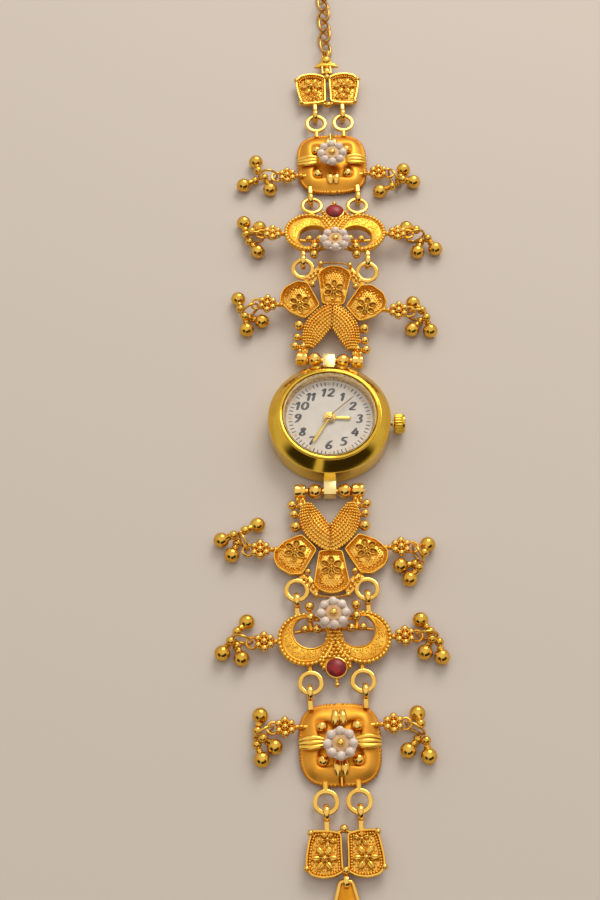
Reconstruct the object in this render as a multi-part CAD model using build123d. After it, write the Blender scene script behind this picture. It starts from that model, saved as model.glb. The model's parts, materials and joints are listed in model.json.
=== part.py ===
from build123d import *
from math import atan2, cos, degrees, radians, sin, sqrt
import os

# A lady's bracelet watch in millimetres. The origin is the centre of the flat case back,
# which lies on the table. +X runs to the crown, +Y to twelve o'clock and +Z out of the dial.
# Each half of the bracelet is the same chain of castings: fan, crescents, square, end plate.

# Case and glass. The movement sets the bore, and the case is built outwards from it.
movement_bore_r = 9.5
skirt_step = 0.75
back_lip = 1.05
case_edge = 0.7
back_t = 0.7
wall_h = 4.3
bezel_h = 1.9
bezel_land = 0.3
glass_inset = 0.55
glass_t = 0.8
glass_seal_t = 0.23
skirt_wall = 0.55
skirt_h = 0.8
back_seal_t = 0.4
seal_sides = 24
back_seal_sides = 16
hidden_sides = 32
rehaut_lip = 0.1
rehaut_slope = 0.4
fit_gap = 0.05
skirt_r = movement_bore_r + skirt_step
back_r = skirt_r + back_lip
case_r = back_r + case_edge
bezel_land_r = movement_bore_r + bezel_land
glass_r = movement_bore_r - glass_inset
rehaut_lip_r = glass_r - rehaut_lip
rehaut_foot_r = rehaut_lip_r - rehaut_slope

# Dial, movement and hands
dial_t = 0.4
dial_hole_r = 0.85
movement_t = 2.45
battery_t = 2.1
battery_web = 0.35
battery_wall = 0.5
battery_sides = 16
coil_length = 9.0
coil_width = 1.7
coil_t = 1.5
coil_inset = 3.5
coil_cheek_t = 0.7
wheel_room_r = 2.85
battery_r = (movement_bore_r - wheel_room_r - battery_web - battery_wall) / 2
battery_reach = wheel_room_r + battery_web + battery_r
coil_reach = movement_bore_r - coil_inset
wheel_room_deep = 1.5
wheel_t = 0.22
wheel_lift = 0.45
wheel_tooth_h = 0.18
hour_wheel_r = 2.2
centre_wheel_r = 2.5
seconds_wheel_r = 2.05
hour_pipe_r = 0.75
cannon_r = 0.46
arbor_r = 0.18
hand_step = 0.3
hand_t = 0.14
hour_hand_length = 4.25
hour_hand_width = 0.62
minute_hand_length = 6.55
minute_hand_width = 0.6
second_hand_length = 6.6
second_hand_tail = 2.1
second_hand_width = 0.16
hub_wall = 0.42
hour_angle = -2.0
minute_angle = 239.7
second_angle = 42.8
wheel_teeth = 9

# Crown, stem and setting lever
crown_r = 2.0
crown_length = 2.25
crown_gap = 0.7
crown_flutes = 14
flute_deep = 0.16
stem_r = 0.42
stem_depth = 2.9
stem_z = 2.6
stem_groove_r = 0.26
stem_groove_depth = 2.0
stem_in = movement_bore_r - stem_depth
stem_groove_x = movement_bore_r - stem_groove_depth
lever_t = 0.3
lever_width = 1.5
lever_h = 1.5
crown_travel = 1.0

# Straps, cross pins and pin beads
strap_width = 2.4
strap_roll_r = 1.3
pin_r = 0.5
pin_reach = 2.6
pin_y = case_r + pin_reach
pin_z = 2.2
pin_head_r = 0.75
pin_head_t = 0.25
strap_bore_gap = 0.16
strap_sides = 12
pin_bead_r = 1.4
pin_bead_x = 2.86
pin_bead_sides = 8

# Links: hinge to hinge lengths, lean sideways and pitch upwards of each link as it lies, and
# side play on the cross pins
fan_length = 22.3
crescent_length = 18.2
square_length = 22.2
end_length = 12.0
upper_leans = (3.4, 0.0, -2.5, -2.0)
upper_pitches = (7.7, -9.5, 0.0, 0.0)
lower_leans = (1.2, 2.6, 2.0, 1.6)
lower_pitches = (0.0, 0.0, 0.0, 0.0)
upper_play = 0.2
lower_play = -0.2

# Rings and eyes that join the links
ring_mid_r = 2.0
ring_wire = 0.7
ring_t = 0.6
eye_bore_r = 0.95
eye_wire = 0.7
eye_t = 0.74
ring_sides = 8
eye_sides = 8
bore_sides = 10

# Cast plates
plate_t = 0.95
plate_mid_z = 1.65
rim_w = 0.42
rim_h = 0.3
bead_r = 0.55
small_bead_r = 0.4
side_bead_r = 0.85
bead_sides = 5

# Fan link
barrel_r = 1.4
barrel_width = 2.1
barrel_x = 5.6
fan_ring_x = 6.6
fan_half_width = 10.9
fan_flower_v_share = 0.5336
leaf_rise = 0.35

# Crescent link
crescent_ring_x = 4.8
crescent_eye_x = 6.65
crescent_r = 5.2
crescent_x = 5.35
crescent_v = 7.9
crescent_hole_r = 3.35
crescent_hole_x = 4.35
crescent_hole_v = 6.4
crescent_sides = 16
crescent_hole_sides = 10
pearl_v = 3.75
pearl_ring_r = 2.35
pearl_r = 0.95
pearl_count = 8
pearl_t = 1.3
pearl_hole_r = 1.35
pearl_base = 4.1
pearl_cup_t = 0.4
pearl_post_r = 1.3
ruby_v = 13.7
ruby_r = 1.65
ruby_h = 1.15
ruby_seat_wall = 0.45
stone_sides = 12
drop_v = 16.6

# Square link
square_ring_x = 2.95
square_eye_x = 5.05
square_w = 14.8
square_l = 15.4
square_roundness = 3.2
square_sides = 16
square_v = 9.6
square_low = 0.55
square_edge_top = 1.25
square_top = 2.25
square_taper = 32.0
square_dish_r = 5.9
square_dish_waist = 4.3
square_floor = 1.45
square_pearl_v = 10.3
square_pearl_base = 3.75
square_bead_x = 3.2
square_bead_v = 3.1
square_bead_r = 0.85
rib_width = 1.9
rib_length = 3.2
square_flower_x = 9.8
square_flower_v = 6.3

# End plate
end_eye_x = 3.0
wing_w = 7.1
wing_v_start = 3.1
wing_v_end = 11.3
slit_w = 1.0
end_loop_bore = 0.7
end_loop_wall = 0.55
end_loop_t = 1.0

# Side flowers and bells
flower_gap = 2.5
flower_root = 1.7
flower_granule_r = 0.58
flower_ring_r = 1.25
side_loop_r = 1.42
side_loop_bore = 0.85
side_loop_t = 0.56
side_loop_reach = 2.2
bell_ring_r = 1.95
bell_wire = 0.46
bell_r = 1.5
bell_sides = 5
bell_neck_r = 0.55
bell_hang = 4.2
bell_ring_sides = 6

# Hook, bail and extender chain
hook_width = 5.4
hook_frame_length = 5.0
hook_wire = 0.9
hook_length = 7.0
hook_bend_r = 1.7
hook_droop = -5.5
bail_width = 5.6
bail_length = 2.2
bail_ball_r = 1.2
chain_wire = 0.66
chain_width = 3.9
chain_link_length = 4.55
chain_count = 6
chain_roll = 45.0
chain_slack = 0.2

overrun = 2.0

fan_flower_v = fan_length * fan_flower_v_share
fan_ring_v = fan_length - ring_mid_r

case_bottom = back_t
case_top = case_bottom + wall_h
bezel_top = case_top + bezel_h
glass_bottom = bezel_top - glass_t
glass_bore_r = glass_r + glass_seal_t
movement_bottom = case_bottom + skirt_h + back_seal_t - fit_gap * 3
dial_bottom = movement_bottom + movement_t
dial_top = dial_bottom + dial_t
hinge_z = eye_bore_r + eye_wire
plate_low = plate_mid_z - plate_t / 2
plate_top = plate_low + plate_t
rim_top = plate_top + rim_h
chain_pitch = chain_link_length - 2 * chain_wire - chain_slack

os.makedirs("parts", exist_ok=True)


def save(name, shape):
    """Write one node's solids to its own file."""
    shape.label = name
    export_step(shape, "parts/" + name + ".step")


def turned(points):
    """Revolve a closed outline of (radius, height) points about Z."""
    outline = make_face(Plane.XZ * Polyline(*points, close=True))
    return revolve(outline, Axis.Z)


def slab(sketch, low, high):
    """Extrude a sketch drawn at height zero so that it fills low to high."""
    return Pos(0, 0, low) * extrude(sketch, amount=high - low)


def outline(points):
    """A flat face from corner points."""
    return make_face(Polyline(*points, close=True))


def flat_ring(mid_r, wire, thick, sides):
    """A flat many-sided ring about Z, centred on its own thickness."""
    band = RegularPolygon(mid_r + wire / 2, sides) - RegularPolygon(mid_r - wire / 2, sides)
    return slab(band, -thick / 2, thick / 2)


def granule(radius, low):
    """A bead cast on a plate: a short tapered stud that stands on low."""
    return Pos(0, 0, low) * extrude(RegularPolygon(radius, bead_sides), amount=radius * 1.6, taper=20)


def faceted_ball(radius, sides):
    """A ball with a few flats, for pieces that repeat many times."""
    waist = radius * 0.42
    cap = radius * 0.56
    ring = RegularPolygon(radius, sides)
    upper = Pos(0, 0, waist) * extrude(ring, amount=cap, taper=36)
    return fused([slab(ring, -waist, waist), upper, mirror(upper, about=Plane.XY)])


def bore(radius):
    """The outline of a small hole whose flats clear a round of this radius."""
    return RegularPolygon(radius, bore_sides, major_radius=False)


def fused(shapes):
    """Fuse a list of solids into one."""
    return shapes[0].fuse(*shapes[1:]) if len(shapes) > 1 else shapes[0]


def both_sides(shape):
    """A piece and its mirror image across the middle of the link."""
    return [shape, mirror(shape, about=Plane.YZ)]


def eye(x):
    """A standing loop about the hinge axis, with an arm that reaches into its link."""
    loop = Rot(0, 90, 0) * flat_ring(eye_bore_r + eye_wire / 2, eye_wire, eye_t, eye_sides)
    return Pos(x, 0, hinge_z) * loop


def eye_arm(x, reach):
    """The arm between an eye and the plate behind it."""
    start = eye_bore_r + eye_wire * 0.4
    arm = slab(Rectangle(eye_t, reach - start), plate_low, plate_top)
    return Pos(x, (start + reach) / 2, 0) * arm


def soldered_ring(x, v):
    """A flat ring at the outer end of a link, centred on the hinge height."""
    return Pos(x, v, hinge_z) * flat_ring(ring_mid_r, ring_wire, ring_t, ring_sides)


def side_flower(x, v):
    """A rosette with the neck to its link and the loop that carries the bells."""
    neck_length = flower_gap + flower_root
    neck = Pos(x - neck_length / 2, v) * Rectangle(neck_length, flower_granule_r * 1.6)
    petals = Pos(x, v) * RegularPolygon(flower_ring_r + flower_granule_r, 8)
    loop_band = RegularPolygon(side_loop_r, 6) - RegularPolygon(side_loop_bore, 6, major_radius=False)
    loop_low = hinge_z - side_loop_t / 2
    loop = slab(Pos(x + side_loop_reach, v) * loop_band, loop_low, loop_low + side_loop_t)
    return fused([slab(petals, plate_low, rim_top), slab(neck, plate_low, plate_top), loop])


def star(far, near, points):
    """An outline whose corners lie in turn at the far and the near radius."""
    corners = []
    for step in range(points * 2):
        reach = near if step % 2 else far
        turn = radians(step * 180 / points)
        corners.append((reach * cos(turn), reach * sin(turn)))
    return outline(corners)


def rimmed(sketch, inner):
    """A plate with a raised rim round a sunk floor."""
    body = slab(sketch, plate_low, rim_top)
    return body - slab(inner, plate_top, rim_top + overrun)


def sector(corner_a, corner_b, corner_c, bulge, corner_e):
    """A fan-shaped face: three straight edges and a bowed end that passes through bulge."""
    middle = ((corner_c[0] + corner_e[0]) / 2, (corner_c[1] + corner_e[1]) / 2)
    bow_share = 0.75
    points = [corner_e, corner_a, corner_b, corner_c]
    for corner in (corner_c, corner_e):
        half_way = ((corner[0] + middle[0]) / 2, (corner[1] + middle[1]) / 2)
        points.append((half_way[0] + (bulge[0] - middle[0]) * bow_share,
                       half_way[1] + (bulge[1] - middle[1]) * bow_share))
    points.insert(5, bulge)
    return outline(points)


def shrunk(face, margin):
    """The same outline drawn in by a margin."""
    return offset(face, amount=-margin, kind=Kind.INTERSECTION)


def fan_link():
    """Two granulated leaves and three filigree fans, hung by two barrels on the cross pin."""
    half = fan_half_width
    leaf = [(half * 0.50, fan_length * 0.125), (half * 0.33, fan_length * 0.115), (0, fan_length * 0.33),
            (-half * 0.33, fan_length * 0.115), (-half * 0.50, fan_length * 0.125),
            (-half * 0.53, fan_length * 0.27), (-half * 0.48, fan_length * 0.40),
            (-half * 0.21, fan_length * 0.56), (half * 0.21, fan_length * 0.56),
            (half * 0.48, fan_length * 0.40), (half * 0.53, fan_length * 0.27)]
    leaves = slab(outline(leaf), plate_low, plate_top + leaf_rise)
    side = sector((half * 0.47, fan_length * 0.395), (half * 0.22, fan_length * 0.545),
                  (half * 0.52, fan_length * 0.765), (half * 0.91, fan_length * 0.705),
                  (half, fan_length * 0.56))
    middle = sector((-half * 0.20, fan_length * 0.555), (half * 0.20, fan_length * 0.555),
                    (half * 0.31, fan_length * 0.87), (0, fan_length * 0.945),
                    (-half * 0.31, fan_length * 0.87))
    pieces = [leaves, rimmed(middle, shrunk(middle, rim_w))]
    pieces += both_sides(rimmed(side, shrunk(side, rim_w)))
    drum = RegularPolygon(barrel_r, bore_sides) - bore(pin_r + fit_gap)
    barrel = Rot(0, 90, 0) * slab(drum, -barrel_width / 2, barrel_width / 2)
    arm_start = pin_r + fit_gap * 4
    arm = slab(Pos(barrel_x * 0.94, (arm_start + fan_length * 0.16) / 2)
               * Rectangle(barrel_width * 0.8, fan_length * 0.16 - arm_start), plate_low, plate_top)
    clear_face = RegularPolygon(barrel_r * 0.95, bore_sides)
    clear = Rot(0, 90, 0) * slab(clear_face, -barrel_width * 2, barrel_width * 2)
    arm = arm - Pos(barrel_x, 0, pin_z) * clear
    pieces += both_sides(Pos(barrel_x, 0, pin_z) * barrel)
    pieces += both_sides(arm)
    bead_shares = [(0.575, 0.225), (0.575, 0.335)]
    for x_share, v_share in bead_shares:
        pieces += both_sides(Pos(half * x_share, fan_length * v_share) * granule(side_bead_r, plate_low))
    brace = outline([(half * 0.22, fan_length * 0.90), (half * 0.27, fan_length * 0.98),
                     (half * 0.48, fan_ring_v - ring_mid_r * 0.56),
                     (half * 0.60, fan_ring_v - ring_mid_r * 1.23),
                     (half * 0.50, fan_length * 0.72), (half * 0.30, fan_length * 0.74)])
    pieces += both_sides(slab(brace, plate_low, plate_mid_z))
    pieces += both_sides(soldered_ring(fan_ring_x, fan_ring_v))
    pieces += both_sides(side_flower(half + flower_gap, fan_flower_v))
    return fused(pieces)


def pearl_cup(low, base):
    """The post, cup and stud that carry a pearl flower."""
    post = slab(RegularPolygon(pearl_post_r, 6), low, base - pearl_cup_t)
    cup = slab(RegularPolygon(pearl_ring_r, pearl_count), base - pearl_cup_t, base)
    stud = slab(RegularPolygon(pearl_hole_r * 0.6, bead_sides), base, base + pearl_t)
    return fused([post, cup, stud])


def moon(radius, hole):
    """One crescent: a disc with a round bite out of its upper inner side."""
    disc = Pos(crescent_x, crescent_v) * RegularPolygon(radius, crescent_sides)
    return disc - Pos(crescent_hole_x, crescent_hole_v) * RegularPolygon(hole, crescent_hole_sides)


def crescent_link():
    """Two granulated crescents round a pearl flower, with a stone seat at the foot."""
    pieces = both_sides(slab(moon(crescent_r, crescent_hole_r), plate_low, rim_top))
    pieces += both_sides(eye(crescent_eye_x))
    pieces += both_sides(eye_arm(crescent_eye_x, crescent_v - crescent_r * 0.85))
    spine_half = crescent_eye_x * 0.2
    seat_r = ruby_r + ruby_seat_wall
    spine = outline([(-spine_half, pearl_v), (spine_half, pearl_v),
                     (spine_half * 2.4, ruby_v - seat_r * 0.6),
                     (spine_half * 2.2, ruby_v), (-spine_half * 2.2, ruby_v),
                     (-spine_half * 2.4, ruby_v - seat_r * 0.6)])
    pieces.append(slab(spine, plate_low, plate_top))
    pieces.append(Pos(0, pearl_v) * pearl_cup(plate_low, pearl_base))
    seat = slab(Pos(0, ruby_v) * RegularPolygon(seat_r, stone_sides), plate_low, rim_top + leaf_rise)
    stone_room = Pos(0, ruby_v) * RegularPolygon(ruby_r + fit_gap, stone_sides)
    stone_room = slab(stone_room, plate_top, rim_top + overrun)
    pieces.append(Pos(0, drop_v) * granule(small_bead_r, plate_mid_z - small_bead_r))
    tail = Pos(0, (ruby_v + seat_r + drop_v) / 2) * Rectangle(small_bead_r, drop_v - ruby_v - seat_r * 0.8)
    pieces.append(slab(tail, plate_mid_z - small_bead_r / 2, plate_mid_z + small_bead_r / 2))
    bar_shares = [(0.1, 1.25, 0.335)]
    for start_share, end_share, v_share in bar_shares:
        bar_w = crescent_eye_x * (end_share - start_share)
        bar_x = crescent_eye_x * (end_share + start_share) / 2
        bar = Pos(bar_x, crescent_length * v_share) * Rectangle(bar_w, bead_r)
        pieces += both_sides(slab(bar, plate_low, plate_mid_z))
    ring_v = crescent_length - ring_mid_r
    pieces += both_sides(soldered_ring(crescent_ring_x, ring_v))
    neck_end = ring_v - ring_mid_r
    neck_start = crescent_v + crescent_r * 0.9
    neck_face = Rectangle(bead_r * 2.4, neck_end - neck_start + ring_wire)
    neck = Pos(crescent_ring_x, (neck_start + neck_end) / 2) * neck_face
    pieces += both_sides(slab(neck, plate_low, plate_top))
    pieces += both_sides(side_flower(crescent_x + crescent_r + flower_gap, crescent_v))
    whole = fused(pieces + [seat])
    return whole - stone_room


def rounded_square():
    """The outline of the square link: sides that bow into wide corners."""
    points = []
    power = 2 / square_roundness
    for step in range(square_sides):
        turn = radians((step + 0.5) * 360 / square_sides)
        across = abs(cos(turn)) ** power * (1 if cos(turn) > 0 else -1)
        along = abs(sin(turn)) ** power * (1 if sin(turn) > 0 else -1)
        points.append((across * square_w / 2, along * square_l / 2))
    return outline(points)


def square_link():
    """A domed square frame round a sunk floor, with four domed beads and ribbed clips."""
    face = rounded_square()
    dome_h = square_top - square_edge_top
    dome = Pos(0, 0, square_edge_top) * extrude(face, amount=dome_h, taper=square_taper)
    body = slab(face, square_low, square_edge_top) + dome
    dish = Rot(0, 0, 45) * star(square_dish_r, square_dish_waist, 4)
    body = body - slab(dish, square_floor, square_top + overrun)
    pieces = [Pos(0, square_v) * body]
    for spot in GridLocations(2 * square_bead_x, 2 * square_bead_v, 2, 2):
        pieces.append(Pos(0, square_v) * spot * granule(square_bead_r, square_floor))
    rib_centre = square_w / 2 - rib_length / 2
    rib_face = Pos(rib_centre, square_v) * Rectangle(rib_length, rib_width)
    rib = slab(rib_face, square_edge_top, square_top + rim_h)
    pieces += both_sides(rib)
    clip_reach = square_l / 2 - rib_length * 0.75
    clip = slab(Rectangle(rib_width, rib_length * 0.9), square_edge_top, square_top + rim_h)
    for turn in (-1, 1):
        pieces.append(Pos(0, square_v + turn * clip_reach) * clip)
    pieces.append(Pos(0, square_pearl_v) * pearl_cup(square_low + rim_w, square_pearl_base))
    pieces += both_sides(eye(square_eye_x))
    pieces += both_sides(eye_arm(square_eye_x, square_v - square_l * 0.36))
    ring_v = square_length - ring_mid_r
    pieces += both_sides(soldered_ring(square_ring_x, ring_v))
    neck_start = square_v + square_l / 2 - rim_w * 2
    neck_end = ring_v - ring_mid_r + ring_wire / 2
    neck = Pos(square_ring_x, (neck_start + neck_end) / 2) * Rectangle(bead_r * 2.4, neck_end - neck_start)
    pieces += both_sides(slab(neck, plate_low, plate_top))
    pieces += both_sides(side_flower(square_flower_x, square_flower_v))
    return fused(pieces)


def end_plate():
    """A butterfly of two small fans, with two eyes and a loop for the hook or the bail."""
    v0 = wing_v_start
    v1 = wing_v_end
    span = v1 - v0
    wing_shares = [(0.8, 0.0), (0.97, 0.5), (1.0, 0.78), (0.82, 1.0), (0.4, 1.04)]
    right = [(wing_w * x_share, v0 + span * v_share) for x_share, v_share in wing_shares]
    left = [(-x, v) for x, v in reversed(right)]
    wings = outline([(0, v0 + span * 0.08)] + right + [(0, v0 + span * 0.95)] + left)
    whole = rimmed(wings, shrunk(wings, rim_w * 1.5))
    slit = slab(Pos(0, v0 + span * 0.42) * Rectangle(slit_w, span * 0.62), 0, rim_top + overrun)
    whole = whole - slit
    more = both_sides(eye(end_eye_x)) + both_sides(eye_arm(end_eye_x, v0 + rim_w * 2))
    more.append(Pos(0, v0 + bead_r * 0.2) * granule(bead_r * 1.3, plate_low))
    more.append(Pos(0, v1 - span * 0.14) * granule(bead_r, plate_top))
    loop_r = end_loop_bore + end_loop_wall
    loop = Rot(0, 90, 0) * flat_ring(end_loop_bore + end_loop_wall / 2, end_loop_wall, end_loop_t, 8)
    more.append(Pos(0, end_length, hinge_z) * loop)
    tongue_start = v1 - span * 0.1
    tongue_end = end_length - loop_r * 0.75
    tongue = Pos(0, (tongue_start + tongue_end) / 2) * Rectangle(end_loop_t, tongue_end - tongue_start)
    more.append(slab(tongue, plate_low, plate_top))
    return fused([whole] + more)


def pearl_flower(v, base):
    """Eight pearls set in a ring, moulded as one piece that sits over a stud."""
    band = star(pearl_ring_r + pearl_r, pearl_ring_r + pearl_r * 0.5, pearl_count)
    low = slab(band, base, base + pearl_t * 0.55)
    crest = RegularPolygon(pearl_ring_r + pearl_r * 0.45, pearl_count * 2)
    dome = Pos(0, 0, base + pearl_t * 0.5) * extrude(crest, amount=pearl_t * 0.5, taper=35)
    hole = slab(RegularPolygon(pearl_hole_r, pearl_count), base - overrun, base + pearl_t + overrun)
    return Pos(0, v) * (low + dome - hole)


def ruby():
    """A round cut stone: a short girdle under a tapered crown."""
    girdle = RegularPolygon(ruby_r, stone_sides)
    low = slab(girdle, 0, ruby_h * 0.45)
    top = Pos(0, 0, ruby_h * 0.45) * extrude(girdle, amount=ruby_h * 0.55, taper=40)
    return Pos(0, ruby_v, plate_top) * (low + top)


def bell_bunch(loop_z, ring_turn, hangs):
    """A standing jump ring through the loop at the origin, and the bells that hang on it.

    loop_z is the height of the loop, ring_turn the heading of the ring, and hangs lists for
    each bell its place round the ring and its heading, all in degrees. Ring and bells rest
    on the table.
    """
    centre_z = bell_ring_r + bell_wire / 2
    reach = sqrt(bell_ring_r ** 2 - (centre_z - loop_z) ** 2)
    ring = Rot(90, 0, 0) * flat_ring(bell_ring_r, bell_wire, bell_wire, bell_ring_sides)
    pieces = [Pos(reach, 0, centre_z) * ring]
    for place, heading in hangs:
        hold_x = reach + bell_ring_r * cos(radians(place))
        hold_z = centre_z + bell_ring_r * sin(radians(place))
        fall = hold_z - bell_r
        run = sqrt(bell_hang ** 2 - fall ** 2)
        slope = degrees(atan2(fall, run))
        along = Pos(hold_x, 0, hold_z) * Rot(0, 0, heading - ring_turn) * Rot(0, slope, 0) * Rot(0, 90, 0)
        neck = slab(RegularPolygon(bell_neck_r, 4), bell_wire * 0.75, bell_hang - bell_r * 0.9)
        ball = Pos(0, 0, bell_hang) * faceted_ball(bell_r, bell_sides)
        pieces.append(along * (neck + ball))
    return Rot(0, 0, ring_turn) * Compound(children=pieces)


def case_middle():
    """The round case band with its bore, the recess for the back and the stem hole."""
    seat_z = case_bottom + skirt_h + back_seal_t
    bore_face = RegularPolygon(movement_bore_r, hidden_sides, major_radius=False)
    recess = RegularPolygon(skirt_r + fit_gap, hidden_sides, major_radius=False)
    band = slab(Circle(case_r), case_bottom, case_top)
    band = band - slab(bore_face, case_bottom - overrun, case_top + overrun)
    band = band - slab(recess, case_bottom - overrun, seat_z)
    hole = Rot(0, 90, 0) * extrude(bore(stem_r + fit_gap), amount=case_r)
    return band - Pos(movement_bore_r / 2, 0, stem_z) * hole


def bezel():
    """The cone-shaped bezel with a narrow bright land round the glass."""
    return turned([(movement_bore_r, case_top), (case_r, case_top), (bezel_land_r, bezel_top),
                   (glass_bore_r, bezel_top), (glass_bore_r, glass_bottom),
                   (movement_bore_r, glass_bottom)])


def case_back():
    """The snap back: a round flange with a skirt that enters the case."""
    flange = slab(Circle(back_r), 0, back_t)
    skirt_face = RegularPolygon(skirt_r, hidden_sides, major_radius=False)
    room = RegularPolygon(skirt_r - skirt_wall, hidden_sides, major_radius=False)
    return flange + slab(skirt_face - room, back_t, back_t + skirt_h)


def rehaut():
    """The sloping ring between dial and glass."""
    outer = movement_bore_r - fit_gap
    return turned([(rehaut_foot_r, dial_top), (outer, dial_top), (outer, glass_bottom),
                   (rehaut_lip_r, glass_bottom)])


def seal(mid_r, width, low, high, sides):
    """A flat gasket, hidden, so with fewer sides."""
    band = RegularPolygon(mid_r + width / 2, sides) - RegularPolygon(mid_r - width / 2, sides)
    return slab(band, low, high)


def movement():
    """The movement with its holder: one disc with rooms for battery, coil, wheels and lever."""
    disc_r = movement_bore_r - fit_gap * 3
    disc = slab(RegularPolygon(disc_r, hidden_sides, major_radius=False), movement_bottom, dial_bottom)
    battery_room = Pos(-battery_reach, 0) * RegularPolygon(battery_r + fit_gap * 2, battery_sides)
    coil_room = Pos(0, coil_reach) * Rectangle(coil_length + fit_gap * 4, coil_width + fit_gap * 8)
    room_low = dial_bottom - wheel_room_deep
    disc = disc - slab(battery_room, movement_bottom - overrun, movement_bottom + battery_t + fit_gap)
    disc = disc - slab(coil_room, movement_bottom - overrun, movement_bottom + coil_t + fit_gap)
    wheel_room = RegularPolygon(wheel_room_r, 12, major_radius=False)
    disc = disc - slab(wheel_room, room_low, dial_bottom + overrun)
    tunnel = Rot(0, 90, 0) * extrude(bore(stem_r + fit_gap), amount=movement_bore_r)
    disc = disc - Pos(stem_in - fit_gap * 2, 0, stem_z) * tunnel
    lever_room = Rectangle(lever_t + crown_travel + fit_gap * 4, lever_width + fit_gap * 4)
    lever_room = Pos(stem_groove_x + crown_travel / 2, 0) * lever_room
    lever_top = stem_z + lever_h / 2 + fit_gap * 2
    return disc - slab(lever_room, movement_bottom - overrun, lever_top)


def battery():
    """The button cell with its narrower negative cap."""
    cap_h = battery_t * 0.12
    cap = slab(RegularPolygon(battery_r * 0.85, battery_sides), 0, cap_h)
    can = slab(RegularPolygon(battery_r, battery_sides), cap_h, battery_t)
    return Pos(-battery_reach, 0, movement_bottom) * (cap + can)


def coil():
    """The stepping coil: a wound body between two cheeks."""
    wound_half = coil_length / 2 - coil_cheek_t
    wound = Rot(0, 90, 0) * extrude(RegularPolygon(coil_t * 0.45, 8), amount=wound_half, both=True)
    cheek_x = coil_length / 2 - coil_cheek_t / 2
    cheek = Box(coil_cheek_t, coil_width, coil_t)
    pieces = [wound, Pos(cheek_x, 0, 0) * cheek, Pos(-cheek_x, 0, 0) * cheek]
    return Pos(0, coil_reach, movement_bottom + coil_t / 2) * fused(pieces)


def toothed(radius):
    """The outline of a small train wheel with pointed teeth."""
    return star(radius, radius - wheel_tooth_h, wheel_teeth)


def wheel_with_pipe(radius, level, pipe_r, bore_r, top):
    """A train wheel and its upright pipe or arbor; level counts up from the lowest wheel."""
    low = dial_bottom - wheel_room_deep + wheel_t + level * wheel_lift
    disc = slab(toothed(radius), low, low + wheel_t)
    post = slab(RegularPolygon(pipe_r, bore_sides), low, top)
    wheel = disc + post
    if bore_r:
        wheel = wheel - slab(bore(bore_r), low - overrun, top + overrun)
    return wheel


def hand(length, width, tail, post_r, level, angle):
    """A tapered baton hand with a round hub, pressed on its pipe."""
    low = dial_top + hand_step * level
    hub_r = post_r + hub_wall
    blade = outline([(-tail, -width / 4), (0, -width / 2), (length * 0.9, -width / 2), (length, 0),
                     (length * 0.9, width / 2), (0, width / 2), (-tail, width / 4)])
    body = slab(blade, low, low + hand_t)
    hub = slab(RegularPolygon(hub_r, 12), low, low + hand_t)
    hole = slab(bore(post_r + fit_gap / 5), low - overrun, low + overrun)
    return Rot(0, 0, angle) * (body + hub - hole)


def crown():
    """The fluted crown."""
    rim_length = crown_length * 0.8
    barrel = extrude(star(crown_r, crown_r - flute_deep, crown_flutes), amount=rim_length)
    cap_face = RegularPolygon(crown_r * 0.9, crown_flutes)
    cap = Pos(0, 0, rim_length) * extrude(cap_face, amount=crown_length - rim_length, taper=45)
    collar = slab(RegularPolygon(stem_r * 1.8, bore_sides), -crown_gap * 0.4, 0)
    socket = slab(bore(stem_r + fit_gap / 5), -crown_length, crown_length / 2)
    whole = fused([barrel, cap, collar]) - socket
    return Pos(case_r + crown_gap, 0, stem_z) * Rot(0, 90, 0) * whole


def stem():
    """The winding stem with the groove that the setting lever holds."""
    end_x = case_r + crown_gap + crown_length / 2 - fit_gap
    groove = lever_t / 2 + fit_gap
    rod = RegularPolygon(stem_r, bore_sides)
    inner = slab(rod, stem_in, stem_groove_x - groove)
    waist = slab(RegularPolygon(stem_groove_r, bore_sides), stem_in, end_x)
    outer = slab(rod, stem_groove_x + groove, end_x)
    return Pos(0, 0, stem_z) * Rot(0, 90, 0) * fused([inner, waist, outer])


def setting_lever():
    """The forked lever that rides in the stem's groove."""
    plate = Box(lever_t, lever_width, lever_h)
    fork = (stem_groove_r + fit_gap) * 2
    slot = Pos(0, 0, -lever_h / 2 + fork / 2) * Box(lever_t + overrun, fork, lever_h)
    return Pos(stem_groove_x, 0, stem_z) * (plate - slot)


def strap():
    """The lug strap: a flat tongue from the case that rolls round the cross pin."""
    tongue_start = case_r - overrun
    tongue_low = pin_z - strap_roll_r * 0.45
    roll_top = pin_z + strap_roll_r
    tongue = outline([(tongue_start, tongue_low), (pin_y, tongue_low), (pin_y, roll_top),
                      (tongue_start, roll_top)])
    side = tongue + Pos(pin_y, pin_z) * RegularPolygon(strap_roll_r, strap_sides, major_radius=False)
    side = side - Pos(pin_y, pin_z) * bore(pin_r + strap_bore_gap)
    body = extrude(Plane.YZ * side, amount=strap_width / 2, both=True)
    return body - Cylinder(case_r, case_top * 4)


def cross_pin():
    """The cross pin with a small head at each end."""
    half = barrel_x + barrel_width / 2 + fit_gap * 5
    shaft = slab(RegularPolygon(pin_r, bore_sides), -half, half)
    head = RegularPolygon(pin_head_r, bore_sides)
    heads = [Pos(0, 0, half) * extrude(head, amount=pin_head_t)]
    heads.append(Pos(0, 0, -half) * extrude(head, amount=-pin_head_t))
    return Rot(0, 90, 0) * fused([shaft] + heads)


def pin_bead():
    """A round loose bead, bored for the cross pin."""
    ball = faceted_ball(pin_bead_r, pin_bead_sides)
    hole = slab(bore(pin_r + fit_gap), -pin_bead_r * 2, pin_bead_r * 2)
    return Rot(0, 90, 0) * (ball - hole)


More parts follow.
